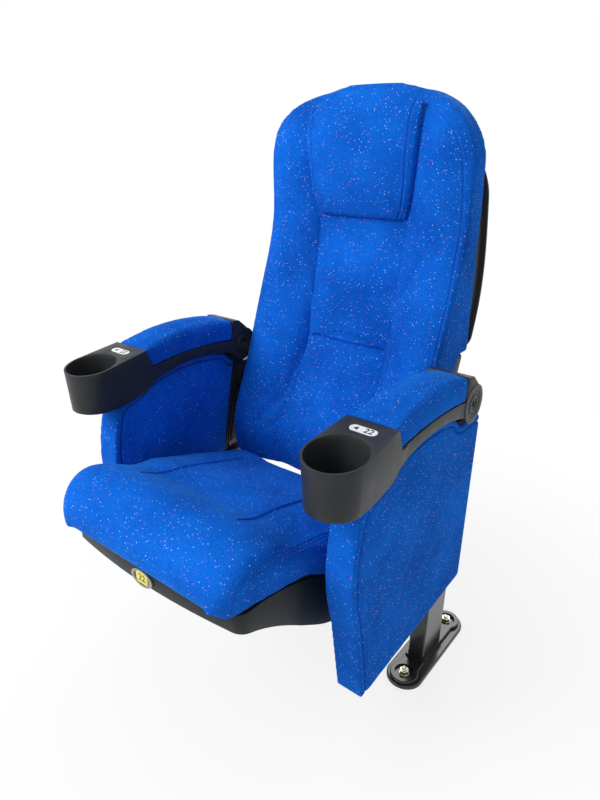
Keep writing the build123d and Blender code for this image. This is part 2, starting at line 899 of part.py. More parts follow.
def along_y(face, y_low, y_high):
    """Face drawn in (x, z), drawn out between two y."""
    plane = Plane(origin=(0, y_low, 0), x_dir=(1, 0, 0), z_dir=(0, -1, 0))
    return extrude(plane * face, amount=y_low - y_high)


def board_line(shift):
    points = [(y + shift, back_z(share)) for share, y in back_board_line]
    return Spline(*points)


def back_band(front, rear):
    """Everything between two copies of the back board's line, set back by front and rear."""
    near = board_line(front)
    far = board_line(rear)
    face = closed_face(near, Line(near @ 1, far @ 1), far, Line(far @ 0, near @ 0))
    return yz_slab(face, -standard_x, standard_x)


def before_board(gap):
    near = board_line(-gap)
    start, end = near @ 0, near @ 1
    face = closed_face(
        near,
        Line(end, (-400, end.Y)),
        Line((-400, end.Y), (-400, start.Y)),
        Line((-400, start.Y), start),
    )
    return yz_slab(face, -back_half - 60, back_half + 60)


def shell_rim_band(gap):
    foot = back_z(shell_low) - rim_inset
    outline = back_front_outline(rim_inset - gap, foot, back_z(shell_high))
    return back_band(back_shell_depth - shell_rim - gap, back_shell_depth) & along_y(outline, -300, 400)


def back_shell():
    """Upper shell: skin, walls, a rim behind the cushion, and a step down to the lower cover."""
    low, high = back_z(shell_low), back_z(shell_high)
    outer = back_band(0, back_shell_depth)
    outer &= along_y(back_front_outline(rim_inset, low - rim_inset, high), -300, 400)
    walls = along_y(back_front_outline(shell_inset, back_bottom, high), -300, 400)
    outer -= back_band(-1, back_shell_depth - shell_rim) - walls
    inner_inset = shell_inset + shell_wall
    hollow = back_band(-2, back_shell_depth - shell_wall)
    hollow &= along_y(back_front_outline(inner_inset, low + shell_wall - inner_inset, high), -300, 400)
    step_room = back_band(-3, lower_cover_depth - shell_wall)
    step_room &= along_y(back_front_outline(inner_inset, back_bottom, high), -300, 400)
    return outer - hollow - step_room


def lower_back_cover():
    low = back_z(lower_cover_low)
    high = back_z(shell_low) - 1
    half = back_half - lower_cover_inset
    middle = (low + high) / 2
    outer_face = Pos(0, middle) * RectangleRounded(2 * half, high - low, 8)
    inner_face = Pos(0, middle + 20) * Rectangle(
        2 * (half - shell_wall), high - low - 2 * shell_wall + 40
    )
    cover = back_band(0, lower_cover_depth) & along_y(outer_face, -300, 400)
    cover -= back_band(-1, lower_cover_depth - shell_wall) & along_y(inner_face, -300, 400)
    rail_low, rail_high = back_rail_heights()
    notch = block(-standard_x, standard_x, -300, 400, rail_low - 1, rail_high + 1)
    notch -= block(-half + 8, half - 8, -300, 400, 0, 2 * back_top)
    return cover - notch


def back_rail_heights():
    middle = back_z(rail_middle)
    return (middle - 20, middle + 20)


def back_board_plate():
    inset = shell_inset + shell_wall + 4
    face = back_front_outline(inset, back_z(lower_cover_low) - shell_inset, back_z(shell_high))
    return back_band(skin_gap, back_board) & along_y(face, -300, 400)


def back_frame():
    """Two flat uprights and three rails behind the board."""
    band = back_band(back_board, back_board + back_rail)
    low, high = back_rail_heights()
    high_z = back_z(frame_high)
    upright = Pos(165, (low + high_z) / 2) * Rectangle(40, high_z - low)
    face = upright + mirror(upright, about=Plane.YZ)
    reach = bracket_tab_inner_x() + 16
    face += Pos(0, (low + high) / 2) * Rectangle(2 * reach, high - low)
    for share in rail_shares:
        face += Pos(0, back_z(share)) * Rectangle(360, 34)
    frame = band & along_y(face, -300, 400)
    for x in (-frame_bolt_x(), frame_bolt_x()):
        hole = Pos(x, (low + high) / 2) * Circle(bracket_bolt_radius + bolt_gap)
        frame -= along_y(hole, -300, 400)
    return frame


def bracket_tab_inner_x():
    return back_half + 3


def frame_bolt_x():
    return bracket_tab_inner_x() + 9


def back_bolt_places():
    low, high = back_rail_heights()
    return ((post_rear_y - 14, low - 6), (post_rear_y - 14, high + 14))


def back_bracket():
    """Plate on the post's inner face with a tab behind the frame's low rail."""
    low, high = back_rail_heights()
    plate_x = post_inner_x - 6
    front = back_bolt_places()[0][0] - 12
    middle = (low + high) / 2
    rear = rail_rear_y(middle) + back_rail + 14
    outline = Polyline(
        (front, low - 18),
        (front, high + 26),
        (post_rear_y + 4, high + 26),
        (rear, high + 6),
        (rear, low),
        (post_rear_y + 4, low - 18),
        close=True,
    )
    plate = yz_slab(make_face(outline), plate_x, post_inner_x)
    tab_face = Pos((bracket_tab_inner_x() + plate_x + 3) / 2, middle) * Rectangle(
        plate_x + 3 - bracket_tab_inner_x(), high - low
    )
    tab = back_band(back_board + back_rail, back_board + 2 * back_rail) & along_y(tab_face, -300, 400)
    bracket = plate + tab
    hole = Pos(frame_bolt_x(), middle) * Circle(bracket_bolt_radius + bolt_gap)
    bracket -= along_y(hole, -300, 400)
    for place in back_bolt_places():
        bracket -= yz_disc(place, bracket_bolt_radius + bolt_gap, 0, standard_x)
    return bracket


def rail_rear_y(z):
    """The rear of the low rail at height z, between the board line's named points."""
    share = (z - back_bottom) / back_height
    for (s1, y1), (s2, y2) in zip(back_board_line, back_board_line[1:]):
        if s1 <= share <= s2:
            return y1 + (y2 - y1) * (share - s1) / (s2 - s1) + back_board + back_rail
    return back_board_line[-1][1]


def back_bolts():
    bolts = []
    for place in back_bolt_places():
        head = yz_disc(place, 6.5, post_inner_x - 11, post_inner_x - 6)
        shank = yz_disc(place, bracket_bolt_radius, post_inner_x - 11, post_inner_x + 12)
        bolts.append(head + shank)
    low, high = back_rail_heights()
    middle = (low + high) / 2
    rear = rail_rear_y(middle) + back_rail
    spot = Pos(frame_bolt_x(), middle)
    shank = along_y(spot * Circle(bracket_bolt_radius), rear - 2 * back_rail - 3, rear + 6)
    head = along_y(spot * Circle(6.5), rear + 3, rear + 8)
    bolts.append(shank + head)
    return bolts


def back_section(share, side, crest, valley_x, valley, middle):
    """Level section of the back cushion: side bolsters, channels, centre panel."""
    half = back_half
    rear = 260
    crest_x = half - 32
    face = closed_face(
        Line((-half, rear), (half, rear)),
        Line((half, rear), (half, side)),
        ThreePointArc((half, side), (crest_x, crest), (valley_x, valley)),
        ThreePointArc((valley_x, valley), (0, middle), (-valley_x, valley)),
        ThreePointArc((-valley_x, valley), (-crest_x, crest), (-half, side)),
        Line((-half, side), (-half, rear)),
    )
    return Pos(0, 0, back_z(share)) * face


back_profile = (
    # share of height, side, bolster crest, channel x, channel, centre
    (-0.01, -52, -54, 104, -40, -44),
    (0.035, -62, -68, 104, -43, -49),
    (0.228, -25, -33, 104, 18, 8),
    (0.351, 8, 0, 97, 57, 47),
    (0.495, 45, 36, 99, 77, 68),
    (0.606, 72, 62, 101, 93, 84),
    (0.686, 82, 72, 103, 97, 92),
    (0.766, 82, 70, 116, 86, 80),
    (0.844, 84, 68, 123, 78, 72),
    (0.935, 98, 82, 125, 82, 78),
    (0.98, 118, 106, 122, 104, 100),
    (1.01, 132, 126, 120, 124, 122),
)


def back_foam():
    return loft([back_section(*row) for row in back_profile])


def pillow_outline(inset):
    """The head pillow from the front: sides that spread upwards, crowned top."""
    side = [
        (103 - inset, back_z(pillow_low) + inset),
        (113 - inset, back_z(0.74)),
        (125 - inset, back_z(0.87)),
        (125 - inset, back_top - 24),
        (118 - inset, back_top - 14 - inset),
    ]
    other = [(-x, z) for x, z in reversed(side)]
    return closed_face(
        Polyline(*side),
        ThreePointArc(side[-1], (0, back_top - inset), other[0]),
        Polyline(*other),
        Line(other[-1], side[0]),
    )


def behind_pocket(gap):
    """Everything behind the leaning floor of the head pillow's pocket."""
    low = (98 - gap, back_z(0.66))
    high = (74 - gap, back_z(1.04))
    face = make_face(Polyline(low, high, (500, high[1]), (500, low[1]), close=True))
    return yz_slab(face, -back_half, back_half)


def back_roll():
    """Space behind the board's line where the cushion rolls over the shell's shoulders."""
    foot = back_z(roll_low)
    rear = back_shell_depth + board_line(0).position_at(1).X
    face = closed_face(
        Line((-200, foot), (rear + 20, foot)),
        Line((rear + 20, foot), (rear, back_z(shell_high))),
        ThreePointArc((rear, back_z(shell_high)), (rear - 7, back_top - 18), (rear - 30, back_top)),
        Line((rear - 30, back_top), (-200, back_top)),
        Line((-200, back_top), (-200, foot)),
    )
    roll = before_board(-back_shell_depth) & yz_slab(face, -back_half, back_half)
    inside = back_front_outline(shell_inset - skin_gap, back_bottom, back_z(shell_high))
    return roll - along_y(inside, -300, 400) - shell_rim_band(skin_gap)


def back_cushion():
    foam = back_foam()
    foam += extrude(foam.faces().sort_by(Axis.Z)[0], back_skirt)
    outline = back_front_outline(0, back_bottom - back_skirt, back_top)
    body = foam & along_y(outline, -300, 400)
    body = body & (before_board(0) + back_roll())
    body -= yz_disc(seat_pivot, seat_sweep, -back_half, back_half)
    pocket = along_y(pillow_outline(0), -300, 400) - behind_pocket(0)
    body -= pocket
    seam = block(-97, 97, -200, 200, back_z(seam_low) - 1.5, back_z(seam_low) + 1.5)
    return body - (seam - Pos(0, channel_depth, 0) * foam)


def pillow_section(share, half, side, middle):
    rear = 200
    face = closed_face(
        Line((-half, rear), (half, rear)),
        Line((half, rear), (half, side)),
        ThreePointArc((half, side), (0, middle), (-half, side)),
        Line((-half, side), (-half, rear)),
    )
    return Pos(0, 0, back_z(share)) * face


def head_pillow():
    sections = [
        pillow_section(0.66, 108, 96, 88),
        pillow_section(0.70, 112, 82, 68),
        pillow_section(0.76, 118, 70, 55),
        pillow_section(0.84, 126, 62, 47),
        pillow_section(0.92, 127, 66, 52),
        pillow_section(0.97, 125, 84, 72),
        pillow_section(1.01, 122, 112, 104),
    ]
    pillow = loft(sections)
    pillow &= along_y(pillow_outline(skin_gap), -300, 400)
    return pillow - behind_pocket(skin_gap)


# ---------------------------------------------------------------- armrests
# Built about the plane x = 0 in offsets from the pivot, then moved to the standard.


def arm_place(shape):
    return Pos(standard_x, arm_pivot_y, arm_pivot_z) * shape


def plate_z(y):
    return cup_rim_z + (y - cup_y) * tan(radians(plate_slope))


def arm_front_outline():
    """The armrest seen from the side, from the cup's middle to the pad's front."""
    return closed_face(
        Line((cup_y - 60, plate_z(cup_y - 60)), (plate_rear_y, plate_z(plate_rear_y))),
        Line((plate_rear_y, plate_z(plate_rear_y)), pad_front_low),
        Line(pad_front_low, (pad_front_low[0] + 20, pad_front_low[1])),
        Line((pad_front_low[0] + 20, pad_front_low[1]), (arm_low_front[0] + 20, arm_low_front[1] + 7)),
        Line((arm_low_front[0] + 20, arm_low_front[1] + 7), arm_low_front),
        Line(arm_low_front, arm_knee),
        Line(arm_knee, (cup_y + 35, cup_foot_z + 1)),
        Line((cup_y + 35, cup_foot_z + 1), (cup_y, cup_foot_z)),
        Line((cup_y, cup_foot_z), (cup_y - 60, cup_foot_z)),
        Line((cup_y - 60, cup_foot_z), (cup_y - 60, plate_z(cup_y - 60))),
    )


def front_plan(radius, half, rear_y):
    """Plan of the armrest's front: half round cup, sides running in to the pad."""
    return closed_face(
        ThreePointArc((radius, cup_y), (0, cup_y - radius), (-radius, cup_y)),
        Line((-radius, cup_y), (-half, rear_y)),
        Line((-half, rear_y), (half, rear_y)),
        Line((half, rear_y), (radius, cup_y)),
    )


def cup_radius_at(z):
    share = (z - cup_foot_z) / (cup_rim_z - cup_foot_z)
    return cup_foot_radius + share * (cup_radius - cup_foot_radius)


def arm_front():
    low, high = cup_foot_z - 5, plate_z(plate_rear_y) + 10
    rear = plate_rear_y + 60
    half = arm_width / 2
    block_ends = [
        Pos(0, 0, low) * front_plan(cup_radius_at(low), half, rear),
        Pos(0, 0, high) * front_plan(cup_radius_at(high), half, rear),
    ]
    return loft(block_ends, ruled=True) & yz_slab(arm_front_outline(), -80, 80)


def arm_beam_outline():
    """The armrest's rear length: ledge for the pad, hub block, underside."""
    return closed_face(
        ThreePointArc(pad_front_low, pad_low_mid, pad_rear_low),
        Line(pad_rear_low, pad_rear_top),
        Line(pad_rear_top, rear_top_front),
        Line(rear_top_front, rear_top_back),
        Line(rear_top_back, (0, 0)),
        Line((0, 0), arm_low_rear),
        ThreePointArc(arm_low_rear, arm_low_mid, arm_low_front),
        Line(arm_low_front, pad_front_low),
    )


def ledge_z(y):
    return arc_height(pad_front_low, pad_low_mid, pad_rear_low)(y)


def fork_slot():
    """Room in the armrest for its steel core's cheeks and the post's lug."""
    half = lug_width / 2 + arm_bush_flange + run_gap + core_plate + skin_gap
    top = ledge_z(-50) - arm_wall
    room = Polyline(
        (-50, -80),
        (-50, top),
        (-34, top),
        (0, lug_radius + 3),
        (80, lug_radius + 3),
        (80, -80),
        close=True,
    )
    face = make_face(room) + Circle(lug_radius + 3)
    return yz_slab(face, -half, half)


def arm_channel():
    """Open hollow under the armrest's ledge, from the cup to the hub."""
    front = pad_front_low[0] + 4
    skin = [(y, ledge_z(y) - arm_wall) for y in (front, pad_low_mid[0], -48)]
    face = closed_face(
        ThreePointArc(*skin),
        Line(skin[2], (skin[2][0], -80)),
        Line((skin[2][0], -80), (front, -80)),
        Line((front, -80), skin[0]),
    )
    half = arm_width / 2 - arm_wall
    return yz_slab(face, -half, half)


def cup_hollow():
    floor = cup_foot_z + cup_wall
    height = 160.0
    low = cup_radius_at(floor) - cup_wall
    high = cup_radius_at(floor + height) - cup_wall
    hollow = Pos(0, cup_y, floor + height / 2) * Cone(low, high, height)
    return fillet(hollow.edges().sort_by(Axis.Z)[0], 6)


def label_plane():
    tilt = plate_slope
    origin = (0, label_y, plate_z(label_y))
    return Plane(origin=origin) * Rot(tilt, 0, 0)


def armrest_shell():
    half = hub_width / 2
    shell = arm_front() + yz_slab(arm_beam_outline(), -arm_width / 2, arm_width / 2)
    shell += yz_disc((0, 0), hub_radius, -half, half)
    shell -= arm_channel()
    shell -= fork_slot()
    shell -= cup_hollow()
    shell -= yz_disc((0, 0), arm_pin_radius + bolt_gap, -half, half)
    recess = yz_disc((0, 0), hub_cap_radius + skin_gap, half - hub_cap_depth, half)
    shell -= recess + mirror(recess, about=Plane.YZ)
    pill = SlotOverall(label_length + 2 * skin_gap, label_width + 2 * skin_gap)
    shell -= label_plane() * Pos(0, 0, -label_recess) * extrude(pill, 5)
    for y in arm_screw_places:
        shell -= upright_cylinder(0, y, -80, 80, arm_screw_radius + bolt_gap)
    return shell


def number_plate():
    pill = SlotOverall(label_length, label_width)
    return label_plane() * Pos(0, 0, -label_recess) * extrude(pill, label_thickness)


def armrest_core():
    """Steel fork: two cheeks joined by a web under the ledge."""
    inner = lug_width / 2 + arm_bush_flange + run_gap
    outer = inner + core_plate
    top = [(y, ledge_z(y) - arm_wall - skin_gap) for y in (core_front_y, pad_low_mid[0], -42)]
    low = [(core_front_y, top[0][1] - 14), (pad_low_mid[0], top[1][1] - 15), (-42, -8)]
    cheek_face = closed_face(
        ThreePointArc(*top),
        Line(top[2], (0, core_hub_radius)),
        Line((0, core_hub_radius), (0, -core_hub_radius)),
        Line((0, -core_hub_radius), low[2]),
        ThreePointArc(*reversed(low)),
        Line(low[0], top[0]),
    )
    cheek_face += Circle(core_hub_radius)
    cheek = yz_slab(cheek_face, inner, outer)
    web_rear = -lug_radius - 24
    web_top = [(y, ledge_z(y) - arm_wall - skin_gap) for y in (core_front_y, pad_low_mid[0], web_rear)]
    web_low = moved(web_top, 0, -core_web)
    web_face = closed_face(
        ThreePointArc(*web_top),
        Line(web_top[2], web_low[2]),
        ThreePointArc(*reversed(web_low)),
        Line(web_low[0], web_top[0]),
    )
    core = cheek + mirror(cheek, about=Plane.YZ) + yz_slab(web_face, -inner - 1, inner + 1)
    core -= yz_disc((0, 0), arm_pin_radius, -60, 60)
    for y in arm_screw_places:
        core -= upright_cylinder(0, y, -80, 80, arm_screw_radius + bolt_gap)
    return core


def pad_base():
    points = [(y, ledge_z(y) + skin_gap) for y in (pad_front_low[0] + 8, pad_low_mid[0], pad_rear_low[0] - 8)]
    upper = moved(points, 0, pad_base_thickness)
    face = closed_face(
        ThreePointArc(*points),
        Line(points[2], upper[2]),
        ThreePointArc(*reversed(upper)),
        Line(upper[0], points[0]),
    )
    base = yz_slab(face, 8 - arm_width / 2, arm_width / 2 - 8)
    for y in arm_screw_places:
        base -= upright_cylinder(0, y, -80, ledge_z(y) + 4.5, arm_screw_radius + 0.1)
    return base


def arm_screws():
    screws = []
    for y in arm_screw_places:
        seat = ledge_z(y) - arm_wall - skin_gap - core_web - 0.6
        head = upright_cylinder(0, y, seat - 3, seat, 5)
        screws.append(head + upright_cylinder(0, y, seat, ledge_z(y) + 4, arm_screw_radius))
    return screws


def pad_outline():
    front_top = (plate_rear_y, plate_z(plate_rear_y) + 1)
    front_low = (pad_front_low[0], pad_front_low[1] + skin_gap)
    rear_low = (pad_rear_low[0] - skin_gap, pad_rear_low[1] + skin_gap)
    rear_top = (pad_rear_top[0] - skin_gap, pad_rear_top[1])
    low_mid = (pad_low_mid[0], pad_low_mid[1] + skin_gap)
    return closed_face(
        ThreePointArc(front_low, low_mid, rear_low),
        Line(rear_low, rear_top),
        ThreePointArc(rear_top, pad_top_mid, front_top),
        Line(front_top, front_low),
    )


def pad_section(y, top, shoulder_drop, round_in):
    """Section of the armrest pad across its width at y."""
    half = arm_width / 2 + 0.5
    edge = half - round_in
    shoulder = top - shoulder_drop
    side = shoulder - 0.6 * round_in
    corner = (half - 0.22 * round_in, shoulder - 0.18 * round_in)
    return Plane(origin=(0, y, 0), x_dir=(1, 0, 0), z_dir=(0, -1, 0)) * closed_face(
        Line((-half, -30), (half, -30)),
        Line((half, -30), (half, side)),
        ThreePointArc((half, side), corner, (edge, shoulder)),
        ThreePointArc((edge, shoulder), (0, top), (-edge, shoulder)),
        ThreePointArc((-edge, shoulder), (-corner[0], corner[1]), (-half, side)),
        Line((-half, side), (-half, -30)),
    )


def arm_pad():
    top_z = arc_height((plate_rear_y, plate_z(plate_rear_y) + 1), pad_top_mid, pad_rear_top)
    sections = [
        pad_section(plate_rear_y - 4, top_z(plate_rear_y), 1.5, 6),
        pad_section(-262, top_z(-262), 2.5, 10),
        pad_section(-225, top_z(-225), 4, 16),
        pad_section(-150, top_z(-150), 6, pad_corner),
        pad_section(-80, top_z(-80), 5, pad_corner),
        pad_section(pad_rear_top[0] + 2, top_z(pad_rear_top[0]), 3, 12),
    ]
    pad = loft(sections) & yz_slab(pad_outline(), -60, 60)
    points = [(y, ledge_z(y) - 5) for y in (pad_front_low[0] + 7.5, pad_low_mid[0], pad_rear_low[0] - 7.5)]
    upper = moved(points, 0, 5 + 2 * skin_gap + pad_base_thickness)
    room = closed_face(
        ThreePointArc(*points),
        Line(points[2], upper[2]),
        ThreePointArc(*reversed(upper)),
        Line(upper[0], points[0]),
    )
    half = arm_width / 2 - 7.5
    return pad - yz_slab(room, -half, half)


def pivot_shaft():
    reach = hub_width / 2 - hub_cap_depth - skin_gap
    return yz_disc((0, 0), arm_pin_radius, -reach, reach)


def pivot_cap():
    """Round cap in the hub's outer face, with a raised ring and a sunk middle."""
    low = hub_width / 2 - hub_cap_depth
    cap = yz_disc((0, 0), hub_cap_radius, low, hub_width / 2)
    groove = yz_disc((0, 0), hub_cap_radius - 4, hub_width / 2 - 1.5, hub_width / 2)
    groove -= yz_disc((0, 0), hub_cap_radius - 9, 0, hub_width)
    return cap - groove - yz_disc((0, 0), 5, hub_width / 2 - 2.5, hub_width)


# ---------------------------------------------------------------- write the nodes


def write_standards():
    save_pair("foot_plate", foot_plate())
    save_both("anchor_washers", Compound(solids_of(*[anchor_washer(y) for y in anchor_places])))
    save_both("anchor_nuts", Compound(solids_of(*[anchor_nut(y) for y in anchor_places])))
    save_pair("post", post())
    save_pair("pivot_head", pivot_head())
    save_both("arm_pivot_bushes", Compound(solids_of(*arm_bushes())))
    save_pair("panel_edge_strip", panel_strip())
    save_pair("panel_outer_cover", panel_outer_cover())
    save_pair("panel_inner_cover", panel_inner_cover())
    save_pair("panel_board", panel_core())
    save_both("panel_screws", Compound(solids_of(*panel_screws())))
    save_pair("post_trim", post_trim())


def write_hinge():
    save_pair("seat_bracket", seat_bracket())
    save_both("seat_bracket_bolts", Compound(solids_of(*bracket_bolts())))
    save_both("seat_pivot_pins", seat_pin())
    save_both("seat_pivot_bushes", seat_bush())
    save_both("seat_springs", seat_spring())
    save_both("seat_stop_bumpers", stop_bumper())
    save_both("seat_hinge_arms", hinge_arm())
    save_both("seat_hinge_bolts", Compound(solids_of(*hinge_bolts())))


def write_seat():
    save("seat_pan", seat_pan())
    save("seat_board", seat_board())
    save("seat_frame", seat_frame())
    save("seat_cushion", seat_cushion())
    save("pan_screws", *pan_screws())
    save("number_badge", number_badge())
    save("badge_plate", badge_plate())


def write_back():
    save("back_shell", back_shell())
    save("lower_back_cover", lower_back_cover())
    save("back_board", back_board_plate())
    save("back_frame", back_frame())
    save_both("back_brackets", back_bracket())
    save_both("back_bolts", Compound(solids_of(*back_bolts())))
    save("back_cushion", back_cushion())
    save("head_pillow", head_pillow())


def write_armrests():
    save_pair("armrest_shell", arm_place(armrest_shell()))
    save_pair("armrest_core", arm_place(armrest_core()))
    save_pair("armrest_pad_base", arm_place(pad_base()))
    save_pair("armrest_pad", arm_place(arm_pad()))
    save_pair("armrest_screws", arm_place(Compound(solids_of(*arm_screws()))))
    save_pair("armrest_shaft", arm_place(pivot_shaft()))
    cap = pivot_cap()
    save_pair("armrest_caps", arm_place(Compound(solids_of(cap, mirror(cap, about=Plane.YZ)))))
    save_pair("number_plate", arm_place(number_plate()))


write_standards()
write_hinge()
write_seat()
write_back()
write_armrests()
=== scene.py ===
import json
import math

import bmesh
import bpy
import numpy as np
from mathutils import Matrix, Vector
from mathutils.bvhtree import BVHTree


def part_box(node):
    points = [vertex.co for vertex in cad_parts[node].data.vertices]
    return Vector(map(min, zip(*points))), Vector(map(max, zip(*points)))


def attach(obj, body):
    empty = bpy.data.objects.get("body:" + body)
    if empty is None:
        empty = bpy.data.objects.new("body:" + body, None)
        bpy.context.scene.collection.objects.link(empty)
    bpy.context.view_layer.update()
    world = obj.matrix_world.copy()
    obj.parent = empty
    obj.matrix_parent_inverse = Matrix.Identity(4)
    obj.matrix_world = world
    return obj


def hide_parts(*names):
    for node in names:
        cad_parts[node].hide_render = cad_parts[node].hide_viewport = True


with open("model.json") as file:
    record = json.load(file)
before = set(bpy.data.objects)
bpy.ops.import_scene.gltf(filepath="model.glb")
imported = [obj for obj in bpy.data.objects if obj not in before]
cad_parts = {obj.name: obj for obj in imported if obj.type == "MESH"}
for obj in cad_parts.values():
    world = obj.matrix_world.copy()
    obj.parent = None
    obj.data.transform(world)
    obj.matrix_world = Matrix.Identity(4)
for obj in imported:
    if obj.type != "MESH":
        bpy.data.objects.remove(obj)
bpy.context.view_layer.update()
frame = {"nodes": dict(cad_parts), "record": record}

# Tip up auditorium seat: fabric, mouldings and steelwork round the fixed frame.
# Metres, +Z up, the sitter faces -Y and left is +X.

scene = bpy.context.scene
nodes = frame["nodes"]

# Camera, lamps and floor

cameraView = {
    "place": (0.692, -0.999, 1.032),
    "yaw": 37.8,
    "pitch": 22.72,
    "roll": 0.79,
    "lens": 27.48,
}


def addCamera():
    yaw, pitch, roll = (math.radians(cameraView[k]) for k in ("yaw", "pitch", "roll"))
    flat = math.cos(pitch)
    ahead = Vector((-math.sin(yaw) * flat, math.cos(yaw) * flat, -math.sin(pitch)))
    level = Vector((math.cos(yaw), math.sin(yaw), 0))
    upright = level.cross(ahead)
    right = level * math.cos(roll) + upright * math.sin(roll)
    up = upright * math.cos(roll) - level * math.sin(roll)
    data = bpy.data.cameras.new("photoCamera")
    data.lens = cameraView["lens"]
    camera = bpy.data.objects.new("photoCamera", data)
    turn = Matrix((right, up, -ahead)).transposed().to_4x4()
    camera.matrix_world = Matrix.Translation(cameraView["place"]) @ turn
    scene.collection.objects.link(camera)
    scene.camera = camera


lampSettings = {
    # place, aim, size, watts
    "keyLamp": ((-1.3, -2.2, 2.3), (0.0, -0.1, 0.6), 1.6, 76),
    "fillLamp": ((2.4, -1.2, 1.7), (0.0, 0.0, 0.6), 1.8, 3),
    "rimLamp": ((-0.6, 2.2, 2.4), (0.0, 0.0, 0.9), 1.4, 26),
}
skySettings = {"colour": (0.93, 0.96, 1.0, 1.0), "strength": 0.54}
floorSettings = {
    "size": 60.0,
    "colour": (0.86, 0.86, 0.86, 1.0),
    "fade": {"From Min": 0.35, "From Max": 1.1, "To Min": 0.78, "To Max": 1.0},
}


def addLamp(name, place, aim, size, watts):
    data = bpy.data.lights.new(name, "AREA")
    data.size = size
    data.energy = watts
    lamp = bpy.data.objects.new(name, data)
    lamp.location = place
    lamp.rotation_euler = (Vector(aim) - Vector(place)).to_track_quat("-Z", "Y").to_euler()
    scene.collection.objects.link(lamp)


def seenRays(tree):
    path = tree.nodes.new("ShaderNodeLightPath")  # what the eye, gloss and glass see
    seen = path.outputs["Is Camera Ray"]
    for name in ("Is Glossy Ray", "Is Transmission Ray"):
        either = tree.nodes.new("ShaderNodeMath")
        either.operation = "MAXIMUM"
        tree.links.new(seen, either.inputs[0])
        tree.links.new(path.outputs[name], either.inputs[1])
        seen = either.outputs[0]
    return seen


def addSky():
    world = bpy.data.worlds.new("paleRoom")
    world.use_nodes = True
    tree = world.node_tree
    tree.nodes.clear()
    out = tree.nodes.new("ShaderNodeOutputWorld")
    mix = tree.nodes.new("ShaderNodeMixShader")
    soft = tree.nodes.new("ShaderNodeBackground")
    soft.inputs["Color"].default_value = skySettings["colour"]
    soft.inputs["Strength"].default_value = skySettings["strength"]
    white = tree.nodes.new("ShaderNodeBackground")
    white.inputs["Color"].default_value = (1, 1, 1, 1)
    tree.links.new(seenRays(tree), mix.inputs[0])
    tree.links.new(soft.outputs[0], mix.inputs[1])
    tree.links.new(white.outputs[0], mix.inputs[2])
    tree.links.new(mix.outputs[0], out.inputs["Surface"])
    scene.world = world


def addFloor():
    bm = bmesh.new()
    bmesh.ops.create_grid(bm, x_segments=1, y_segments=1, size=floorSettings["size"] / 2)
    mesh = bpy.data.meshes.new("studioFloor")
    bm.to_mesh(mesh)
    bm.free()
    floor = bpy.data.objects.new("studioFloor", mesh)
    scene.collection.objects.link(floor)
    paint = bpy.data.materials.new("paleFloor")
    paint.use_nodes = True
    tree = paint.node_tree
    shader = tree.nodes["Principled BSDF"]
    shader.inputs["Base Color"].default_value = floorSettings["colour"]
    shader.inputs["Roughness"].default_value = 0.95
    shader.inputs["Specular IOR Level"].default_value = 0.0
    glow = tree.nodes.new("ShaderNodeEmission")
    place = tree.nodes.new("ShaderNodeTexCoord")
    away = tree.nodes.new("ShaderNodeVectorMath")
    away.operation = "LENGTH"
    tree.links.new(place.outputs["Object"], away.inputs[0])
    fade = tree.nodes.new("ShaderNodeMapRange")  # the floor turns white away from the seat
    for slot, value in floorSettings["fade"].items():
        fade.inputs[slot].default_value = value
    tree.links.new(away.outputs["Value"], fade.inputs["Value"])
    share = tree.nodes.new("ShaderNodeMath")
    share.operation = "MULTIPLY"
    tree.links.new(seenRays(tree), share.inputs[0])
    tree.links.new(fade.outputs[0], share.inputs[1])
    mix = tree.nodes.new("ShaderNodeMixShader")
    tree.links.new(share.outputs[0], mix.inputs[0])
    tree.links.new(shader.outputs[0], mix.inputs[1])
    tree.links.new(glow.outputs[0], mix.inputs[2])
    tree.links.new(mix.outputs[0], tree.nodes["Material Output"].inputs["Surface"])
    mesh.materials.append(paint)


# Materials


class Recipe:
    # short hand for wiring one material
    def __init__(self, name):
        self.material = bpy.data.materials.new(name)
        self.material.use_nodes = True
        self.tree = self.material.node_tree
        self.shader = self.tree.nodes["Principled BSDF"]
        self.place = self.add("ShaderNodeTexCoord").outputs["Object"]

    def add(self, kind, **values):
        node = self.tree.nodes.new(kind)
        for key, value in values.items():
            setattr(node, key, value)
        return node

    def join(self, source, target):
        self.tree.links.new(source, target)

    def feed(self, source, target):
        self.join(source, self.shader.inputs[target])

    def set(self, **values):
        for key, value in values.items():
            self.shader.inputs[key.replace("_", " ")].default_value = value


def addNoise(recipe, scale, detail=2.0, roughness=0.5, stretch=None):
    noise = recipe.add("ShaderNodeTexNoise")
    noise.inputs["Scale"].default_value = scale
    noise.inputs["Detail"].default_value = detail
    noise.inputs["Roughness"].default_value = roughness
    place = recipe.place
    if stretch:
        mapping = recipe.add("ShaderNodeMapping")
        mapping.inputs["Scale"].default_value = stretch
        recipe.join(place, mapping.inputs["Vector"])
        place = mapping.outputs[0]
    recipe.join(place, noise.inputs["Vector"])
    return noise.outputs["Fac"]


def addRamp(recipe, source, *stops):
    ramp = recipe.add("ShaderNodeValToRGB")
    marks = ramp.color_ramp.elements
    while len(marks) < len(stops):
        marks.new(0.5)
    for mark, (place, colour) in zip(marks, stops):
        mark.position = place
        mark.color = (*colour, 1)
    recipe.join(source, ramp.inputs[0])
    return ramp.outputs["Color"]


def addMix(recipe, share, first, second):
    mix = recipe.add("ShaderNodeMix", data_type="RGBA")
    for value, slot in ((share, 0), (first, 6), (second, 7)):
        if isinstance(value, (int, float, tuple)):
            mix.inputs[slot].default_value = value
        else:
            recipe.join(value, mix.inputs[slot])
    return mix.outputs[2]


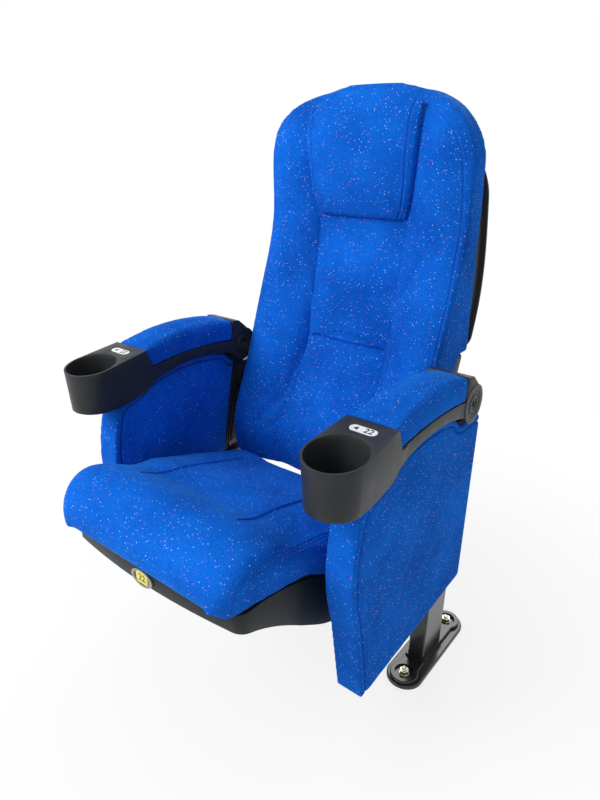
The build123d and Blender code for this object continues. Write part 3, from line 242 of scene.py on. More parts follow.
def addMath(recipe, operation, first, second):
    node = recipe.add("ShaderNodeMath", operation=operation)
    for slot, value in enumerate((first, second)):
        if isinstance(value, (int, float)):
            node.inputs[slot].default_value = value
        else:
            recipe.join(value, node.inputs[slot])
    return node.outputs[0]


def addBump(recipe, height, strength, distance):
    bump = recipe.add("ShaderNodeBump")
    bump.inputs["Strength"].default_value = strength
    bump.inputs["Distance"].default_value = distance
    recipe.join(height, bump.inputs["Height"])
    recipe.feed(bump.outputs["Normal"], "Normal")


fabricSettings = {
    "patches": 7.0,  # cells per metre of the broad shading
    "pile": 620,
    "deep": (0.0025, 0.080, 0.45),
    "bright": (0.0045, 0.142, 0.68),
    # painted shade for the pits of the pile
    "pit": (0.001, 0.034, 0.30),
    "sheen": 0.22,
    "sheenTint": (0.08, 0.5, 1.0, 1.0),
    "specks": (
        # cells per metre, dot radius as a share of a cell, share of cells left bare, strength
        (560, 0.22, 0.50, 0.13),
        (205, 0.165, 0.42, 0.60),
    ),
}


def addSpecks(recipe, cloth, scale, size, bare, strength):
    cells = recipe.add("ShaderNodeTexVoronoi")
    cells.inputs["Scale"].default_value = scale
    recipe.join(recipe.place, cells.inputs["Vector"])
    split = recipe.add("ShaderNodeSeparateColor")
    recipe.join(cells.outputs["Color"], split.inputs[0])
    near = addMath(recipe, "LESS_THAN", cells.outputs["Distance"], size)
    chosen = addMath(recipe, "GREATER_THAN", split.outputs[0], bare)
    tint = addRamp(
        recipe,
        split.outputs[1],
        (0.0, (0.40, 0.68, 0.98)),
        (0.34, (0.86, 0.90, 0.98)),
        (0.62, (0.14, 0.45, 0.92)),
        (0.76, (0.85, 0.10, 0.24)),
        (0.87, (0.90, 0.38, 0.20)),
        (0.93, (0.02, 0.02, 0.16)),
    )
    tint.node.color_ramp.interpolation = "CONSTANT"
    share = addMath(recipe, "MULTIPLY", addMath(recipe, "MULTIPLY", near, chosen), strength)
    return addMix(recipe, share, cloth, tint)


def makeFabric():
    recipe = Recipe("blueFabric")
    broad = addNoise(recipe, fabricSettings["patches"], 3.0, 0.6)
    cloth = addRamp(recipe, broad, (0.32, fabricSettings["deep"]), (0.68, fabricSettings["bright"]))
    # the pile's low points, where its bump sinks, are painted darker: painted shade in the pits of the
    # pile
    pile = addNoise(recipe, fabricSettings["pile"], 2.0, 0.7)
    dark = addRamp(recipe, pile, (0.30, (1, 1, 1)), (0.52, (0, 0, 0)))
    cloth = addMix(recipe, addMath(recipe, "MULTIPLY", dark, 0.6), cloth, (*fabricSettings["pit"], 1))
    for layer in fabricSettings["specks"]:
        cloth = addSpecks(recipe, cloth, *layer)
    recipe.feed(cloth, "Base Color")
    addBump(recipe, pile, 0.45, 0.0006)
    recipe.set(Roughness=0.92, Specular_IOR_Level=0.03, Sheen_Weight=fabricSettings["sheen"])
    recipe.set(Sheen_Roughness=0.4, Sheen_Tint=fabricSettings["sheenTint"])
    return recipe.material


def makeThread():
    recipe = Recipe("blueThread")
    twist = addNoise(recipe, 900, 2.0, 0.5)
    shades = addRamp(recipe, twist, (0.3, (0.006, 0.09, 0.50)), (0.7, (0.03, 0.20, 0.78)))
    recipe.feed(shades, "Base Color")
    recipe.set(Roughness=0.7, Sheen_Weight=0.3, Sheen_Roughness=0.4, Sheen_Tint=(0.4, 0.7, 1.0, 1.0))
    return recipe.material


def makeMoulding(name, dark, light, roughness, grain):
    # plastic with a fine spark texture, its gloss rubbed unevenly
    recipe = Recipe(name)
    recipe.feed(addRamp(recipe, addNoise(recipe, 14, 4.0, 0.6), (0.3, dark), (0.75, light)), "Base Color")
    rough = recipe.add("ShaderNodeMapRange")
    rough.inputs["To Min"].default_value = roughness - 0.07
    rough.inputs["To Max"].default_value = roughness + 0.09
    recipe.join(addNoise(recipe, 60, 3.0, 0.6), rough.inputs["Value"])
    recipe.feed(rough.outputs[0], "Roughness")
    recipe.set(Specular_IOR_Level=0.24)
    addBump(recipe, addNoise(recipe, 1500, 2.0, 0.6), grain, 0.0002)
    return recipe.material


def makePaintedSteel():
    recipe = Recipe("blackSteel")
    cloud = addNoise(recipe, 22, 3.0, 0.55)
    shades = addRamp(recipe, cloud, (0.3, (0.010, 0.011, 0.012)), (0.8, (0.022, 0.024, 0.026)))
    recipe.feed(shades, "Base Color")
    addBump(recipe, addNoise(recipe, 240, 3.0, 0.5), 0.12, 0.0005)
    recipe.set(Roughness=0.24, Specular_IOR_Level=0.4, Coat_Weight=0.2, Coat_Roughness=0.12)
    return recipe.material


def makePlated(name, dark, light, roughness):
    recipe = Recipe(name)
    streak = addNoise(recipe, 90, 4.0, 0.6, (1, 1, 6))
    recipe.feed(addRamp(recipe, streak, (0.3, dark), (0.7, light)), "Base Color")
    addBump(recipe, streak, 0.1, 0.0004)
    recipe.set(Metallic=1.0, Roughness=roughness)
    return recipe.material


def makePlywood():
    recipe = Recipe("plywood")
    grain = addNoise(recipe, 30, 5.0, 0.6, (1, 12, 12))
    shades = addRamp(recipe, grain, (0.3, (0.030, 0.023, 0.017)), (0.7, (0.065, 0.050, 0.038)))
    recipe.feed(shades, "Base Color")
    addBump(recipe, grain, 0.2, 0.0006)
    recipe.set(Roughness=0.75)
    return recipe.material


def makePlain(name, dark, light, roughness):
    recipe = Recipe(name)
    recipe.feed(addRamp(recipe, addNoise(recipe, 40, 3.0, 0.6), (0.3, dark), (0.7, light)), "Base Color")
    addBump(recipe, addNoise(recipe, 900, 2.0, 0.5), 0.1, 0.0002)
    recipe.set(Roughness=roughness)
    return recipe.material


def makeMaterials():
    charcoal = ((0.018, 0.020, 0.022), (0.028, 0.030, 0.033))
    # the seat pan's copy of the charcoal, darker and bluer: painted shade under the cushion
    panShadeTones = ((0.010, 0.0130, 0.0145), (0.017, 0.021, 0.0235))
    return {
        "blue_fabric": makeFabric(),
        "thread": makeThread(),
        "black_moulding": makeMoulding("blackMoulding", *charcoal, 0.40, 0.30),
        "pan_shade_moulding": makeMoulding("panShadedMoulding", *panShadeTones, 0.42, 0.35),
        "black_steel": makePaintedSteel(),
        "bare_steel": makePlated("platedSteel", (0.38, 0.39, 0.40), (0.62, 0.62, 0.62), 0.32),
        "zinc_yellow": makePlated("yellowZinc", (0.44, 0.41, 0.30), (0.70, 0.67, 0.55), 0.34),
        "badge_metal": makePlated("badgeMetal", (0.30, 0.29, 0.28), (0.48, 0.46, 0.44), 0.42),
        "plywood": makePlywood(),
        "nylon": makePlain("nylon", (0.55, 0.54, 0.50), (0.68, 0.67, 0.63), 0.45),
        "rubber": makePlain("rubber", (0.010, 0.010, 0.010), (0.022, 0.022, 0.022), 0.75),
        "badge_yellow": makePlain("badgeYellow", (0.66, 0.60, 0.07), (0.82, 0.77, 0.16), 0.38),
        "label_white": makePlain("labelWhite", (0.74, 0.75, 0.73), (0.86, 0.87, 0.85), 0.35),
        "ink": makePlain("ink", (0.010, 0.010, 0.010), (0.025, 0.025, 0.025), 0.5),
        "badge_ink": makePlain("badgeInk", (0.12, 0.115, 0.03), (0.20, 0.18, 0.05), 0.5),
    }


def dressNodes(finish):
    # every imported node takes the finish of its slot
    for part in frame["record"]["subparts"]:
        node = nodes[part["node"]]
        node.data.materials.clear()
        node.data.materials.append(finish[part["material_slot"]])


# Making pieces


def addPiece(name, bm, body, material):
    # a finished bmesh becomes a piece that rides on its body
    mesh = bpy.data.meshes.new(name)
    bm.to_mesh(mesh)
    bm.free()
    piece = bpy.data.objects.new(name, mesh)
    scene.collection.objects.link(piece)
    mesh.materials.append(material)
    shade(mesh)
    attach(piece, body)
    return piece


def shade(mesh, sharp=None):
    for face in mesh.polygons:
        face.use_smooth = True
    if sharp:
        mesh.set_sharp_from_angle(angle=math.radians(sharp))


def roundEdges(bm, edges, radius, segments=2):
    bmesh.ops.bevel(
        bm,
        geom=edges,
        offset=radius,
        segments=segments,
        profile=0.5,
        affect="EDGES",
        clamp_overlap=True,
        material=-1,
    )


def copyOfNode(node):
    bm = bmesh.new()
    bm.from_mesh(nodes[node].data)
    bmesh.ops.remove_doubles(bm, verts=bm.verts, dist=1e-5)
    bmesh.ops.recalc_face_normals(bm, faces=bm.faces)
    return bm


def settle(piece):
    # the piece's modifiers are applied to its mesh
    made = bpy.data.meshes.new_from_object(piece.evaluated_get(bpy.context.evaluated_depsgraph_get()))
    old = piece.data
    piece.modifiers.clear()
    piece.data = made
    bpy.data.meshes.remove(old)
    shade(made)


def coordinates(mesh):
    co = np.zeros(len(mesh.vertices) * 3)
    mesh.vertices.foreach_get("co", co)
    return co.reshape(-1, 3)


def setCoordinates(mesh, co):
    mesh.vertices.foreach_set("co", co.ravel())
    mesh.update()


def vertexNormals(mesh):
    normals = np.zeros(len(mesh.vertices) * 3)
    mesh.vertex_normals.foreach_get("vector", normals)
    return normals.reshape(-1, 3)


# Mouldings with softened edges

flatAngle = 0.6  # degrees under which neighbouring faces are joined
sharpAngle = 32  # degrees over which an edge is rounded
mouldingSettings = {
    # node: (edge radius, body, slot)
    "left_armrest_shell": (0.0011, "left_armrest", "black_moulding"),
    "right_armrest_shell": (0.0011, "right_armrest", "black_moulding"),
    "seat_pan": (0.0014, "seat", "black_moulding"),
    "back_shell": (0.0014, "standards", "black_moulding"),
    "lower_back_cover": (0.0014, "standards", "black_moulding"),
}


def pieceName(node):
    first, *rest = node.split("_")
    return first + "".join(word.capitalize() for word in rest)


def softenMoulding(node, radius, body, material):
    bm = copyOfNode(node)
    bmesh.ops.dissolve_limit(bm, angle_limit=math.radians(flatAngle), verts=bm.verts, edges=bm.edges)
    closed = [e for e in bm.edges if len(e.link_faces) == 2]
    sharp = [e for e in closed if e.calc_face_angle() > math.radians(sharpAngle)]
    roundEdges(bm, sharp, radius)
    bmesh.ops.triangulate(bm, faces=[f for f in bm.faces if len(f.verts) > 4])
    loose = sum(len(e.link_faces) != 2 for e in bm.edges)
    piece = addPiece(pieceName(node) + "Soft", bm, body, material)
    shade(piece.data, 40)
    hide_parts(node)
    print(node, "edges left open", loose)


# Pads


def padOf(node, body, settings, finish):
    # a padded piece that starts from its node's own shape
    piece = addPiece(settings["name"], copyOfNode(node), body, finish["blue_fabric"])
    piece.parent = None
    remesh = piece.modifiers.new("remesh", "REMESH")
    remesh.mode = "VOXEL"
    remesh.voxel_size = settings["voxel"]
    relax = piece.modifiers.new("relax", "SMOOTH")
    relax.factor = 0.5
    relax.iterations = settings["relax"]
    settle(piece)
    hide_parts(node)
    return piece


def pinWeights(piece, held):
    group = piece.vertex_groups.new(name="held")
    for k, weight in enumerate(held(coordinates(piece.data), vertexNormals(piece.data))):
        if weight > 0.01:
            group.add([k], float(weight), "REPLACE")
    return group.name


clothSettings = {"stretch": 12, "bend": 1.5, "frames": 20}


def puff(jobs):
    # inflates the pads together as cloth, no point moving further than its cap
    for piece, settings in jobs:
        cloth = piece.modifiers.new("cloth", "CLOTH")
        cloth.settings.use_pressure = True
        cloth.settings.uniform_pressure_force = settings["pressure"]
        cloth.settings.effector_weights.gravity = 0
        cloth.settings.tension_stiffness = clothSettings["stretch"]
        cloth.settings.compression_stiffness = clothSettings["stretch"]
        cloth.settings.bending_stiffness = clothSettings["bend"]
        cloth.settings.vertex_group_mass = pinWeights(piece, settings["held"])
    for step in range(clothSettings["frames"]):
        scene.frame_set(step + 1)
    graph = bpy.context.evaluated_depsgraph_get()
    for piece, settings in jobs:
        before = coordinates(piece.data)
        after = coordinates(piece.evaluated_get(graph).data)
        piece.modifiers.clear()
        piece.vertex_groups.clear()
        move = after - before
        reach = np.linalg.norm(move, axis=1, keepdims=True) + 1e-9
        capped = settings["cap"] * np.tanh(reach / settings["cap"])
        setCoordinates(piece.data, before + move / reach * capped)
        print(piece.name, "swelled by up to %.1f mm" % (float(capped.max()) * 1000))
    scene.frame_set(1)


# Seams

seamStep = 0.002  # metres between the points of a seam's line
threadStep = 0.0005
seamReach = 0.007  # the mesh is divided this far from a seam


def walk(points, step=seamStep):
    # evenly stepped smooth line through a few points
    ends = [points[0], *points, points[-1]]
    rough = []
    for k in range(1, len(ends) - 2):
        a, b, c, d = (np.array(ends[k + i], float) for i in (-1, 0, 1, 2))
        for t in np.linspace(0, 1, 24, endpoint=False):
            cubic = (3 * b - a - 3 * c + d) * t**3 + (2 * a - 5 * b + 4 * c - d) * t**2
            rough.append(0.5 * (2 * b + (c - a) * t + cubic))
    rough.append(np.array(points[-1], float))
    rough = np.array(rough)
    run = np.concatenate([[0], np.cumsum(np.linalg.norm(np.diff(rough, axis=0), axis=1))])
    marks = np.linspace(0, run[-1], max(2, int(run[-1] / step)))
    return np.stack([np.interp(marks, run, rough[:, k]) for k in range(3)], axis=1)


def surfaceOf(piece):
    bm = bmesh.new()
    bm.from_mesh(piece.data)
    tree = BVHTree.FromBMesh(bm)
    bm.free()
    return tree


def layOn(tree, line):
    hits = [tree.find_nearest(Vector(point)) for point in line]
    return np.array([tuple(hit[0]) for hit in hits]), np.array([tuple(hit[1]) for hit in hits])


def gapTo(line, co, reach):
    # distance of each point from the line, and the nearest step of it
    gap = np.full(len(co), 1.0)
    step = np.zeros(len(co), int)
    near = np.where(((co > line.min(0) - reach) & (co < line.max(0) + reach)).all(axis=1))[0]
    for start in range(0, len(near), 4000):
        part = near[start:start + 4000]
        away = np.linalg.norm(co[part, None, :] - line[None, :, :], axis=2)
        gap[part] = away.min(axis=1)
        step[part] = away.argmin(axis=1)
    return gap, step


def refineNear(piece, lines, reach):
    # divides the mesh along the seams so that it can hold narrow grooves
    mesh = piece.data
    ends = np.zeros(len(mesh.edges) * 2, dtype=np.int32)
    mesh.edges.foreach_get("vertices", ends)
    middle = coordinates(mesh)[ends.reshape(-1, 2)].mean(axis=1)
    chosen = np.zeros(len(middle), bool)
    for line in lines:
        chosen |= gapTo(line, middle, reach)[0] < reach
    bm = bmesh.new()
    bm.from_mesh(mesh)
    bm.edges.ensure_lookup_table()
    edges = [bm.edges[k] for k in np.where(chosen)[0]]
    bmesh.ops.subdivide_edges(bm, edges=edges, cuts=1, use_grid_fill=True, smooth=0.0)
    bm.to_mesh(mesh)
    bm.free()
    shade(mesh)


def press(piece, line, depth, width, shoulder, fade):
    # a sewn groove along the line, with the stuffing swelling beside it
    co = coordinates(piece.data)
    gap, step = gapTo(line, co, 5 * width)
    dip = depth * np.exp(-((gap / width) ** 2))
    swell = shoulder * np.exp(-(((gap - 2.4 * width) / (1.2 * width)) ** 2))
    run = np.minimum(step, len(line) - 1 - step) * seamStep
    ease = np.clip(run / fade, 0, 1) if fade else np.ones(len(co))
    change = (dip - swell) * (ease * ease * (3 - 2 * ease))
    setCoordinates(piece.data, co - vertexNormals(piece.data) * change[:, None])


threadSettings = {"stitch": 0.0034, "pitch": 0.0046, "radius": 0.00035}


def addStitches(name, lines, body, finish):
    bm = bmesh.new()
    gap = round(threadSettings["pitch"] / threadStep)
    for line, normals in lines:
        for k in range(gap, len(line) - gap, gap):
            along = Vector(line[k + gap // 2 - 1] - line[k - gap // 2 + 1])
            if along.length < 1e-5:
                continue
            turn = along.to_track_quat("Z", "Y").to_matrix().to_4x4()
            middle = Vector(line[k]) + Vector(normals[k]) * threadSettings["radius"] * 0.5
            for end, radius in ((0.5, 1.0), (1.0, 0.5)):  # a thick middle with thinner ends
                bmesh.ops.create_cone(
                    bm,
                    cap_ends=True,
                    segments=6,
                    radius1=threadSettings["radius"] * radius,
                    radius2=threadSettings["radius"] * radius,
                    depth=threadSettings["stitch"] * end,
                    matrix=Matrix.Translation(middle) @ turn,
                )
    return addPiece(name, bm, body, finish["thread"])


def sew(piece, body, seams, finish):
    # presses every seam of a piece, then lays its stitches in those that show them
    tree = surfaceOf(piece)
    lines = [layOn(tree, walk(seam["points"]))[0] for seam in seams]
    refineNear(piece, lines, seamReach)
    for seam, line in zip(seams, lines):
        press(piece, line, seam["depth"], seam["width"], seam["shoulder"], seam.get("fade", 0))
    stitched = [line for seam, line in zip(seams, lines) if seam.get("stitched")]
    if stitched:
        tree = surfaceOf(piece)
        threads = [layOn(tree, walk(line[::4], threadStep)) for line in stitched]
        addStitches(piece.name + "Stitches", threads, body, finish)


def mirrored(points):
    return [(-x, y, z) for x, y, z in points]


# Seat cushion

seatSettings = {
    "name": "seatCushion", "voxel": 0.0055, "relax": 6, "pressure": 4.0, "cap": 0.007, "fill": 0.8,
    "channel": (
        (0.119, -0.425, 0.486), (0.117, -0.340, 0.457), (0.114, -0.240, 0.429), (0.111, -0.140, 0.402),
    ),
    "stitch": {"depth": 0.0034, "width": 0.0024, "shoulder": 0.0008, "fade": 0.022},
    "trough": {"depth": 0.0014, "width": 0.0130, "shoulder": 0.0, "fade": 0.045},
    "edging": {"depth": 0.0013, "width": 0.0016, "shoulder": 0.0004, "stitched": True},
    "fold": {"depth": 0.0008, "width": 0.0040, "shoulder": 0.0006, "fade": 0.020},
    "edgingStep": (0.004, -0.001, -0.003),  # from the first row of edge stitches to the second
    "boxing": (
        (0.196, -0.516, 0.400), (0.202, -0.516, 0.430), (0.206, -0.513, 0.452), (0.210, -0.503, 0.467),
        (0.214, -0.488, 0.474), (0.217, -0.466, 0.478), (0.216, -0.436, 0.476), (0.213, -0.402, 0.467),
        (0.211, -0.365, 0.457), (0.211, -0.300, 0.440), (0.210, -0.220, 0.418), (0.208, -0.150, 0.396),
    ),
    "crease": ((0.094, -0.522, 0.478), (0.099, -0.535, 0.458), (0.100, -0.541, 0.438)),
}


def heldSeat(co, normals):
    # tacked down on its board, and kept clear of the side panels
    under = np.clip(-normals[:, 2] * 2, 0, 1)
    side = np.clip((np.abs(normals[:, 0]) - 0.7) * 4, 0, 0.7)
    return np.maximum(under, side)


def seatSeams():
    seams = []
    for turn in (list, mirrored):
        channel = turn(seatSettings["channel"])
        boxing = turn(seatSettings["boxing"])
        dx, dy, dz = seatSettings["edgingStep"]
        second = [(x + math.copysign(dx, x), y + dy, z + dz) for x, y, z in boxing]
        seams.append({"points": channel, **seatSettings["stitch"]})
        seams.append({"points": channel, **seatSettings["trough"]})
        for edge in (boxing, second):
            seams.append({"points": edge, **seatSettings["edging"]})
    seams.append({"points": seatSettings["crease"], **seatSettings["fold"]})
    return seams


# Back cushion

backSettings = {
    "name": "backCushion", "voxel": 0.006, "relax": 6, "pressure": 4.0, "cap": 0.006, "fill": 0.8,
    "crossSeam": (
        (-0.100, 0.063, 0.639), (-0.05, 0.053, 0.639), (0.0, 0.050, 0.639), (0.05, 0.053, 0.639),
        (0.100, 0.063, 0.639),
    ),
    "valley": (
        (0.105, 0.094, 0.885), (0.104, 0.090, 0.840), (0.103, 0.078, 0.780), (0.103, 0.067, 0.715),
        (0.102, 0.056, 0.650), (0.102, 0.040, 0.560), (0.102, 0.020, 0.450), (0.102, 0.010, 0.395),
    ),
    "bolster": (
        (0.126, 0.082, 1.100), (0.158, 0.076, 1.088), (0.186, 0.070, 1.065), (0.204, 0.070, 1.034),
        (0.212, 0.072, 1.010), (0.218, 0.075, 0.961), (0.220, 0.077, 0.919), (0.221, 0.075, 0.884),
        (0.223, 0.051, 0.779), (0.224, 0.027, 0.708), (0.224, 0.000, 0.620), (0.224, -0.030, 0.520),
        (0.222, -0.050, 0.430),
    ),
    "stitch": {"depth": 0.0045, "width": 0.0030, "shoulder": 0.0010, "fade": 0.012},
    "trough": {"depth": 0.0028, "width": 0.0140, "shoulder": 0.0, "fade": 0.030},
    "tuck": {"depth": 0.0018, "width": 0.0032, "shoulder": 0.0},
    "edging": {"depth": 0.0013, "width": 0.0016, "shoulder": 0.0006, "stitched": True},
}


def heldBack(co, normals):
    behind = np.clip(normals[:, 1] * 2, 0, 1)
    side = np.clip((np.abs(normals[:, 0]) - 0.6) * 4, 0, 0.9)
    cross = backSettings["crossSeam"]
    line = np.exp(-(((co[:, 2] - cross[0][2]) / 0.006) ** 2)) * (np.abs(co[:, 0]) < cross[-1][0])
    return np.clip(np.maximum.reduce([behind, side, line]), 0, 1)


def backSeams():
    cross = backSettings["crossSeam"]
    seams = [{"points": cross, **backSettings[look]} for look in ("stitch", "trough")]
    for turn in (list, mirrored):
        seams.append({"points": turn(backSettings["valley"]), **backSettings["tuck"]})
        seams.append({"points": turn(backSettings["bolster"]), **backSettings["edging"]})
    return seams


# Head pillow

pillowSettings = {
    "name": "headPillow", "voxel": 0.004, "relax": 5, "pressure": 4.0, "cap": 0.005, "fill": 0.85,
    "edge": (
        (0.088, 0.078, 0.903), (0.097, 0.072, 0.925), (0.103, 0.066, 0.956), (0.106, 0.060, 1.000),
        (0.108, 0.058, 1.058), (0.108, 0.063, 1.083), (0.111, 0.074, 1.106), (0.112, 0.090, 1.114),
    ),
    "edging": {"depth": 0.0016, "width": 0.0017, "shoulder": 0.0007, "stitched": True},
}


def heldPillow(co, normals):
    return np.clip(normals[:, 1] * 2, 0, 1)


def pillowSeams():
    edges = [turn(pillowSettings["edge"]) for turn in (list, mirrored)]
    return [{"points": edge, **pillowSettings["edging"]} for edge in edges]


# Armrest pads

armPadSettings = {"voxel": 0.0035, "relax": 5, "pressure": 3.0, "cap": 0.0025, "fill": 0.9}


def heldArmPad(co, normals):
    return np.clip(-normals[:, 2] * 2, 0, 1)


# Shape of the stuffed pads

crownSettings = {"span": (1.02, 1.13), "lift": 0.008, "half": 0.20}
skirtSettings = {"span": (0.42, 0.36), "drop": 0.013}
dishSettings = {
    "along": ((-0.47, -0.36), (-0.06, -0.12)),  # where the shape sets in, from the front and the rear
    "sides": (0.165, 0.035, 0.0045),  # place, width and height of the swell beside each channel
    "middle": (0.100, 0.006),  # width and depth of the hollow between the channels
}


def smoothShare(values, span):
    # 0 at the first end of a span and 1 at the second, without a kink
    share = np.clip((values - span[0]) / (span[1] - span[0]), 0, 1)
    return share * share * (3 - 2 * share)


def shapeBack(piece):
    # the stuffing rounds the top up between the shoulders, and the lower edge hangs to the seat
    co = coordinates(piece.data)
    middle = np.clip(1 - (co[:, 0] / crownSettings["half"]) ** 2, 0, 1)
    lift = crownSettings["lift"] * smoothShare(co[:, 2], crownSettings["span"]) * middle
    sag = skirtSettings["drop"] * smoothShare(co[:, 2], skirtSettings["span"])
    co[:, 2] += lift - sag
    setCoordinates(piece.data, co)


def shapeSeat(piece):
    # the seat's top swells beside the channels and sinks between them
    co = coordinates(piece.data)
    first, last = dishSettings["along"]
    upper = np.clip(vertexNormals(piece.data)[:, 2], 0, 1)
    amount = smoothShare(co[:, 1], first) * smoothShare(co[:, 1], last) * upper
    place, width, height = dishSettings["sides"]
    reach, depth = dishSettings["middle"]
    swell = height * np.exp(-(((np.abs(co[:, 0]) - place) / width) ** 2))
    co[:, 2] += amount * (swell - depth * np.exp(-((co[:, 0] / reach) ** 4)))
    setCoordinates(piece.data, co)


def makeCushions(finish):
    seat = padOf("seat_cushion", "seat", seatSettings, finish)
    back = padOf("back_cushion", "standards", backSettings, finish)
    pillow = padOf("head_pillow", "standards", pillowSettings, finish)
    jobs = [
        (seat, {**seatSettings, "held": heldSeat, "body": "seat", "seams": seatSeams()}),
        (back, {**backSettings, "held": heldBack, "body": "standards", "seams": backSeams()}),
        (pillow, {**pillowSettings, "held": heldPillow, "body": "standards", "seams": pillowSeams()}),
    ]
    for side in ("left", "right"):
        settings = {**armPadSettings, "name": side + "ArmPad", "held": heldArmPad, "seams": []}
        settings["body"] = side + "_armrest"
        jobs.append((padOf(side + "_armrest_pad", settings["body"], settings, finish), settings))
    puff(jobs)
    for piece, settings in jobs:
        if piece in (back, pillow):
            shapeBack(piece)
        elif piece is seat:
            shapeSeat(piece)
        piece.modifiers.new("subdivision", "SUBSURF").levels = 1
        settle(piece)
        if settings["seams"]:
            sew(piece, settings["body"], settings["seams"], finish)
        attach(piece, settings["body"])
        print(piece.name, len(piece.data.polygons), "faces")


# Side panel covers

coverSettings = {
    "voxel": 0.0035, "relax": 6, "fill": 1.0, "seamInsets": (0.008, 0.0125), "grow": 0.0004,
    "edging": {"depth": 0.0010, "width": 0.0015, "shoulder": 0.0004, "stitched": True},
    "front": (0.012, 0.82, 12),  # start above the foot, end as a share of the height, points
    "top": (0.03, -0.075, 9),  # start behind the front, end, points
}


def edgeWalk(piece, inset):
    # a line round the front and top of a cover, inset from its edge
    co = coordinates(piece.data)
    reach = np.abs(co[:, 0])
    out = np.sign(co[0, 0]) * (reach.max() if "Outer" in piece.name else reach.min())
    points = []
    start, share, count = coverSettings["front"]
    for z in np.linspace(co[:, 2].min() + start, co[:, 2].max() * share, count):
        level = co[np.abs(co[:, 2] - z) < 0.004]
        points.append((out, level[:, 1].min() + inset, z))
    start, end, count = coverSettings["top"]
    for y in np.linspace(points[-1][1] + start, end, count):
        level = co[np.abs(co[:, 1] - y) < 0.004]
        points.append((out, y, level[:, 2].max() - inset))
    return points


def makeCovers(finish):
    for side in ("left", "right"):
        for kind in ("outer_cover", "inner_cover", "edge_strip"):
            node = side + "_panel_" + kind
            settings = {**coverSettings, "name": pieceName(node) + "Fabric"}
            piece = padOf(node, "standards", settings, finish)
            mesh = piece.data
            setCoordinates(mesh, coordinates(mesh) + vertexNormals(mesh) * coverSettings["grow"])
            if kind != "edge_strip":
                rows = 2 if kind == "inner_cover" else 1
                insets = settings["seamInsets"][:rows]
                seams = [{**settings["edging"], "points": edgeWalk(piece, inset)} for inset in insets]
                sew(piece, "standards", seams, finish)
            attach(piece, "standards")
    print("panel covers made")


# Small parts


def lathe(profile, centre, axis, steps=64):
    # turns a closed outline of (radius, height) points round the axis
    bm = bmesh.new()
    lift = Vector(axis)
    side = lift.orthogonal().normalized()
    verts = [bm.verts.new(Vector(centre) + side * r + lift * h) for r, h in profile]
    edges = [bm.edges.new((a, b)) for a, b in zip(verts, verts[1:] + verts[:1])]
    bmesh.ops.spin(
        bm, geom=verts + edges, cent=centre, axis=axis, angle=2 * math.pi, steps=steps, use_merge=True
    )
    bmesh.ops.remove_doubles(bm, verts=bm.verts, dist=1e-6)
    bmesh.ops.recalc_face_normals(bm, faces=bm.faces)
    return bm


def mmProfile(points):
    return [(r / 1000, h / 1000) for r, h in points]


capSettings = {
    "places": ((0.318, 1), (0.242, -1)),
    "hub": (-0.015, 0.608),
    # turned outline in millimetres, from the cap's back to its face
    "outline": (
        (5.0, 0.0), (24.7, 0.0), (24.7, 3.2), (23.9, 4.0), (22.0, 4.3), (20.6, 3.9),
        (20.0, 2.6), (18.4, 2.5), (17.8, 3.6), (16.8, 4.2), (12.4, 4.3), (11.4, 3.7),
        (10.6, 2.7), (8.0, 2.4), (6.0, 2.0), (5.0, 1.4),
    ),
}


def makeHubCaps(finish):
    for side, hand in (("left", 1), ("right", -1)):
        whole = bmesh.new()
        for x, face in capSettings["places"]:
            centre = (hand * x, *capSettings["hub"])
            cap = lathe(mmProfile(capSettings["outline"]), centre, (hand * face, 0, 0))
            mesh = bpy.data.meshes.new("cap")
            cap.to_mesh(mesh)
            cap.free()
            whole.from_mesh(mesh)
            bpy.data.meshes.remove(mesh)
        body = side + "_armrest"
        piece = addPiece(side + "HubCaps", whole, body, finish["black_moulding"])
        shade(piece.data, 50)
        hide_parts(side + "_armrest_caps")
    print("hub caps turned")


studSettings = {
    "x": 0.280, "y": 0.0985,
    # millimetres
    "foot": 1.0, "thread": 17.0, "runout": 2.4, "tip": 24.0, "chamfer": (0.9, 0.6),
    "radius": 4.9, "root": 4.35, "pitch": 1.5, "bore": 0.6,
}


def makeStuds(finish):
    s = studSettings
    outline = [(s["bore"], s["foot"]), (s["radius"], s["foot"]), (s["radius"], s["thread"])]
    level = s["thread"]
    while level < s["tip"] - s["runout"]:
        outline += [(s["root"], level + s["pitch"] / 2), (s["radius"], level + s["pitch"])]
        level += s["pitch"]
    inward, down = s["chamfer"]
    outline += [(s["root"], s["tip"] - down), (s["root"] - inward, s["tip"]), (s["bore"], s["tip"])]
    for side, x in (("left", s["x"]), ("right", -s["x"])):
        for end, y in (("Front", -s["y"]), ("Rear", s["y"])):
            bm = lathe(mmProfile(outline), (x, y, 0), (0, 0, 1), 32)
            rims = [e for e in bm.edges if e.is_boundary]
            bmesh.ops.holes_fill(bm, edges=rims)
            piece = addPiece(side + end + "Stud", bm, "standards", finish["zinc_yellow"])
            shade(piece.data, 40)
    print("anchor studs turned")


def addNumber(name, words, height, depth, matrix, body, material):
    # raised figures, centred on their own middle, then placed
    curve = bpy.data.curves.new(name, "FONT")
    curve.body = words
    curve.size = height / 0.7
    curve.extrude = depth / 2
    curve.offset = labelSettings["bold"] * height
    curve.align_x = "CENTER"
    curve.align_y = "CENTER"
    holder = bpy.data.objects.new(name, curve)
    scene.collection.objects.link(holder)
    mesh = bpy.data.meshes.new_from_object(holder.evaluated_get(bpy.context.evaluated_depsgraph_get()))
    bpy.data.objects.remove(holder)
    bm = bmesh.new()
    bm.from_mesh(mesh)
    bpy.data.meshes.remove(mesh)
    bmesh.ops.remove_doubles(bm, verts=bm.verts, dist=1e-6)
    middle = sum((v.co for v in bm.verts), Vector()) / len(bm.verts)
    bmesh.ops.translate(bm, vec=(-middle.x, 0, 0), verts=bm.verts)
    bmesh.ops.transform(bm, matrix=matrix, verts=bm.verts)
    piece = addPiece(name, bm, body, material)
    shade(piece.data, 30)


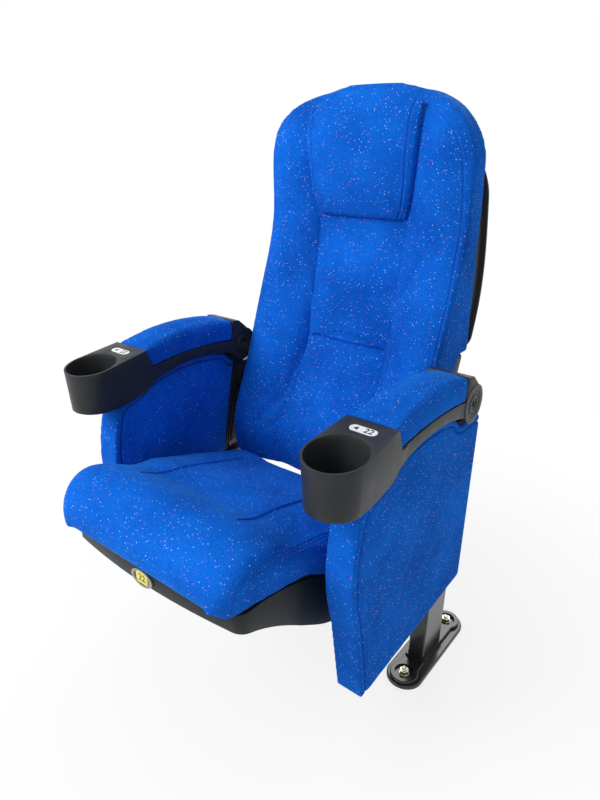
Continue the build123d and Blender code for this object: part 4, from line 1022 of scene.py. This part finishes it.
labelSettings = {
    "top": 0.0005, "slope": 8.1, "figures": "22", "height": 0.0112, "bold": 0.025, "arrow": 0.0052,
    "ink": 0.0003,
}


def makeLabels(finish):
    for side in ("left", "right"):
        low, high = (Vector(corner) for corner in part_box(side + "_number_plate"))
        middle = (low + high) / 2
        tilt = Matrix.Rotation(math.radians(labelSettings["slope"]), 4, "X")
        place = Matrix.Translation(middle) @ tilt @ Matrix.Translation((0, 0, labelSettings["top"]))
        figures = place @ Matrix.Translation((0.009, 0, 0))
        body = side + "_armrest"
        addNumber(
            side + "LabelFigures",
            labelSettings["figures"],
            labelSettings["height"],
            labelSettings["ink"],
            figures,
            body,
            finish["ink"],
        )
        bm = bmesh.new()
        arrow = place @ Matrix.Translation((-0.0115, 0, 0)) @ Matrix.Rotation(math.pi / 2, 4, "Z")
        bmesh.ops.create_cone(
            bm, cap_ends=True, segments=3, radius1=labelSettings["arrow"], radius2=labelSettings["arrow"],
            depth=labelSettings["ink"], matrix=arrow
        )
        piece = addPiece(side + "LabelArrow", bm, body, finish["ink"])
        shade(piece.data, 30)
    print("seat labels printed")


badgeSettings = {
    "width": 0.028, "height": 0.0225, "thick": 0.0012, "corner": 0.0045, "rim": 0.0003,
    "figures": 0.0125, "ink": 0.0003, "proud": 0.0001,
}


def makeBadge(finish):
    low, high = (Vector(corner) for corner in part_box("badge_plate"))
    middle = (low + high) / 2
    bm = bmesh.new()
    size = Matrix.Diagonal((badgeSettings["width"], badgeSettings["thick"], badgeSettings["height"], 1))
    bmesh.ops.create_cube(bm, size=1, matrix=Matrix.Translation(middle) @ size)
    upright = [e for e in bm.edges if abs(e.verts[0].co.y - e.verts[1].co.y) > badgeSettings["thick"] / 2]
    roundEdges(bm, upright, badgeSettings["corner"], 8)
    rims = [e for e in bm.edges if abs(e.verts[0].co.y - e.verts[1].co.y) < 1e-6]
    roundEdges(bm, rims, badgeSettings["rim"])
    plate = addPiece("badgeYellowPlate", bm, "seat", finish["badge_yellow"])
    shade(plate.data, 40)
    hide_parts("badge_plate")
    face = Vector((middle.x, low.y - badgeSettings["proud"], middle.z))
    front = Matrix.Translation(face) @ Matrix.Rotation(math.pi / 2, 4, "X")
    addNumber(
        "badgeFigures",
        labelSettings["figures"],
        badgeSettings["figures"],
        badgeSettings["ink"],
        front,
        "seat",
        finish["badge_ink"],
    )
    print("badge made")


# The run of the script

addCamera()
for lampName, (place, aim, size, watts) in lampSettings.items():
    addLamp(lampName, place, aim, size, watts)
addSky()
addFloor()
scene.view_settings.view_transform = "Standard"
print("camera and light set")

finish = makeMaterials()
dressNodes(finish)
print("materials made")

for node, (radius, body, slot) in mouldingSettings.items():
    # the seat pan takes the darker copy of the black moulding, painted shade under the cushion
    material = finish["pan_shade_moulding" if node == "seat_pan" else slot]
    softenMoulding(node, radius, body, material)

makeCushions(finish)
makeCovers(finish)
makeHubCaps(finish)
makeStuds(finish)
makeLabels(finish)
makeBadge(finish)
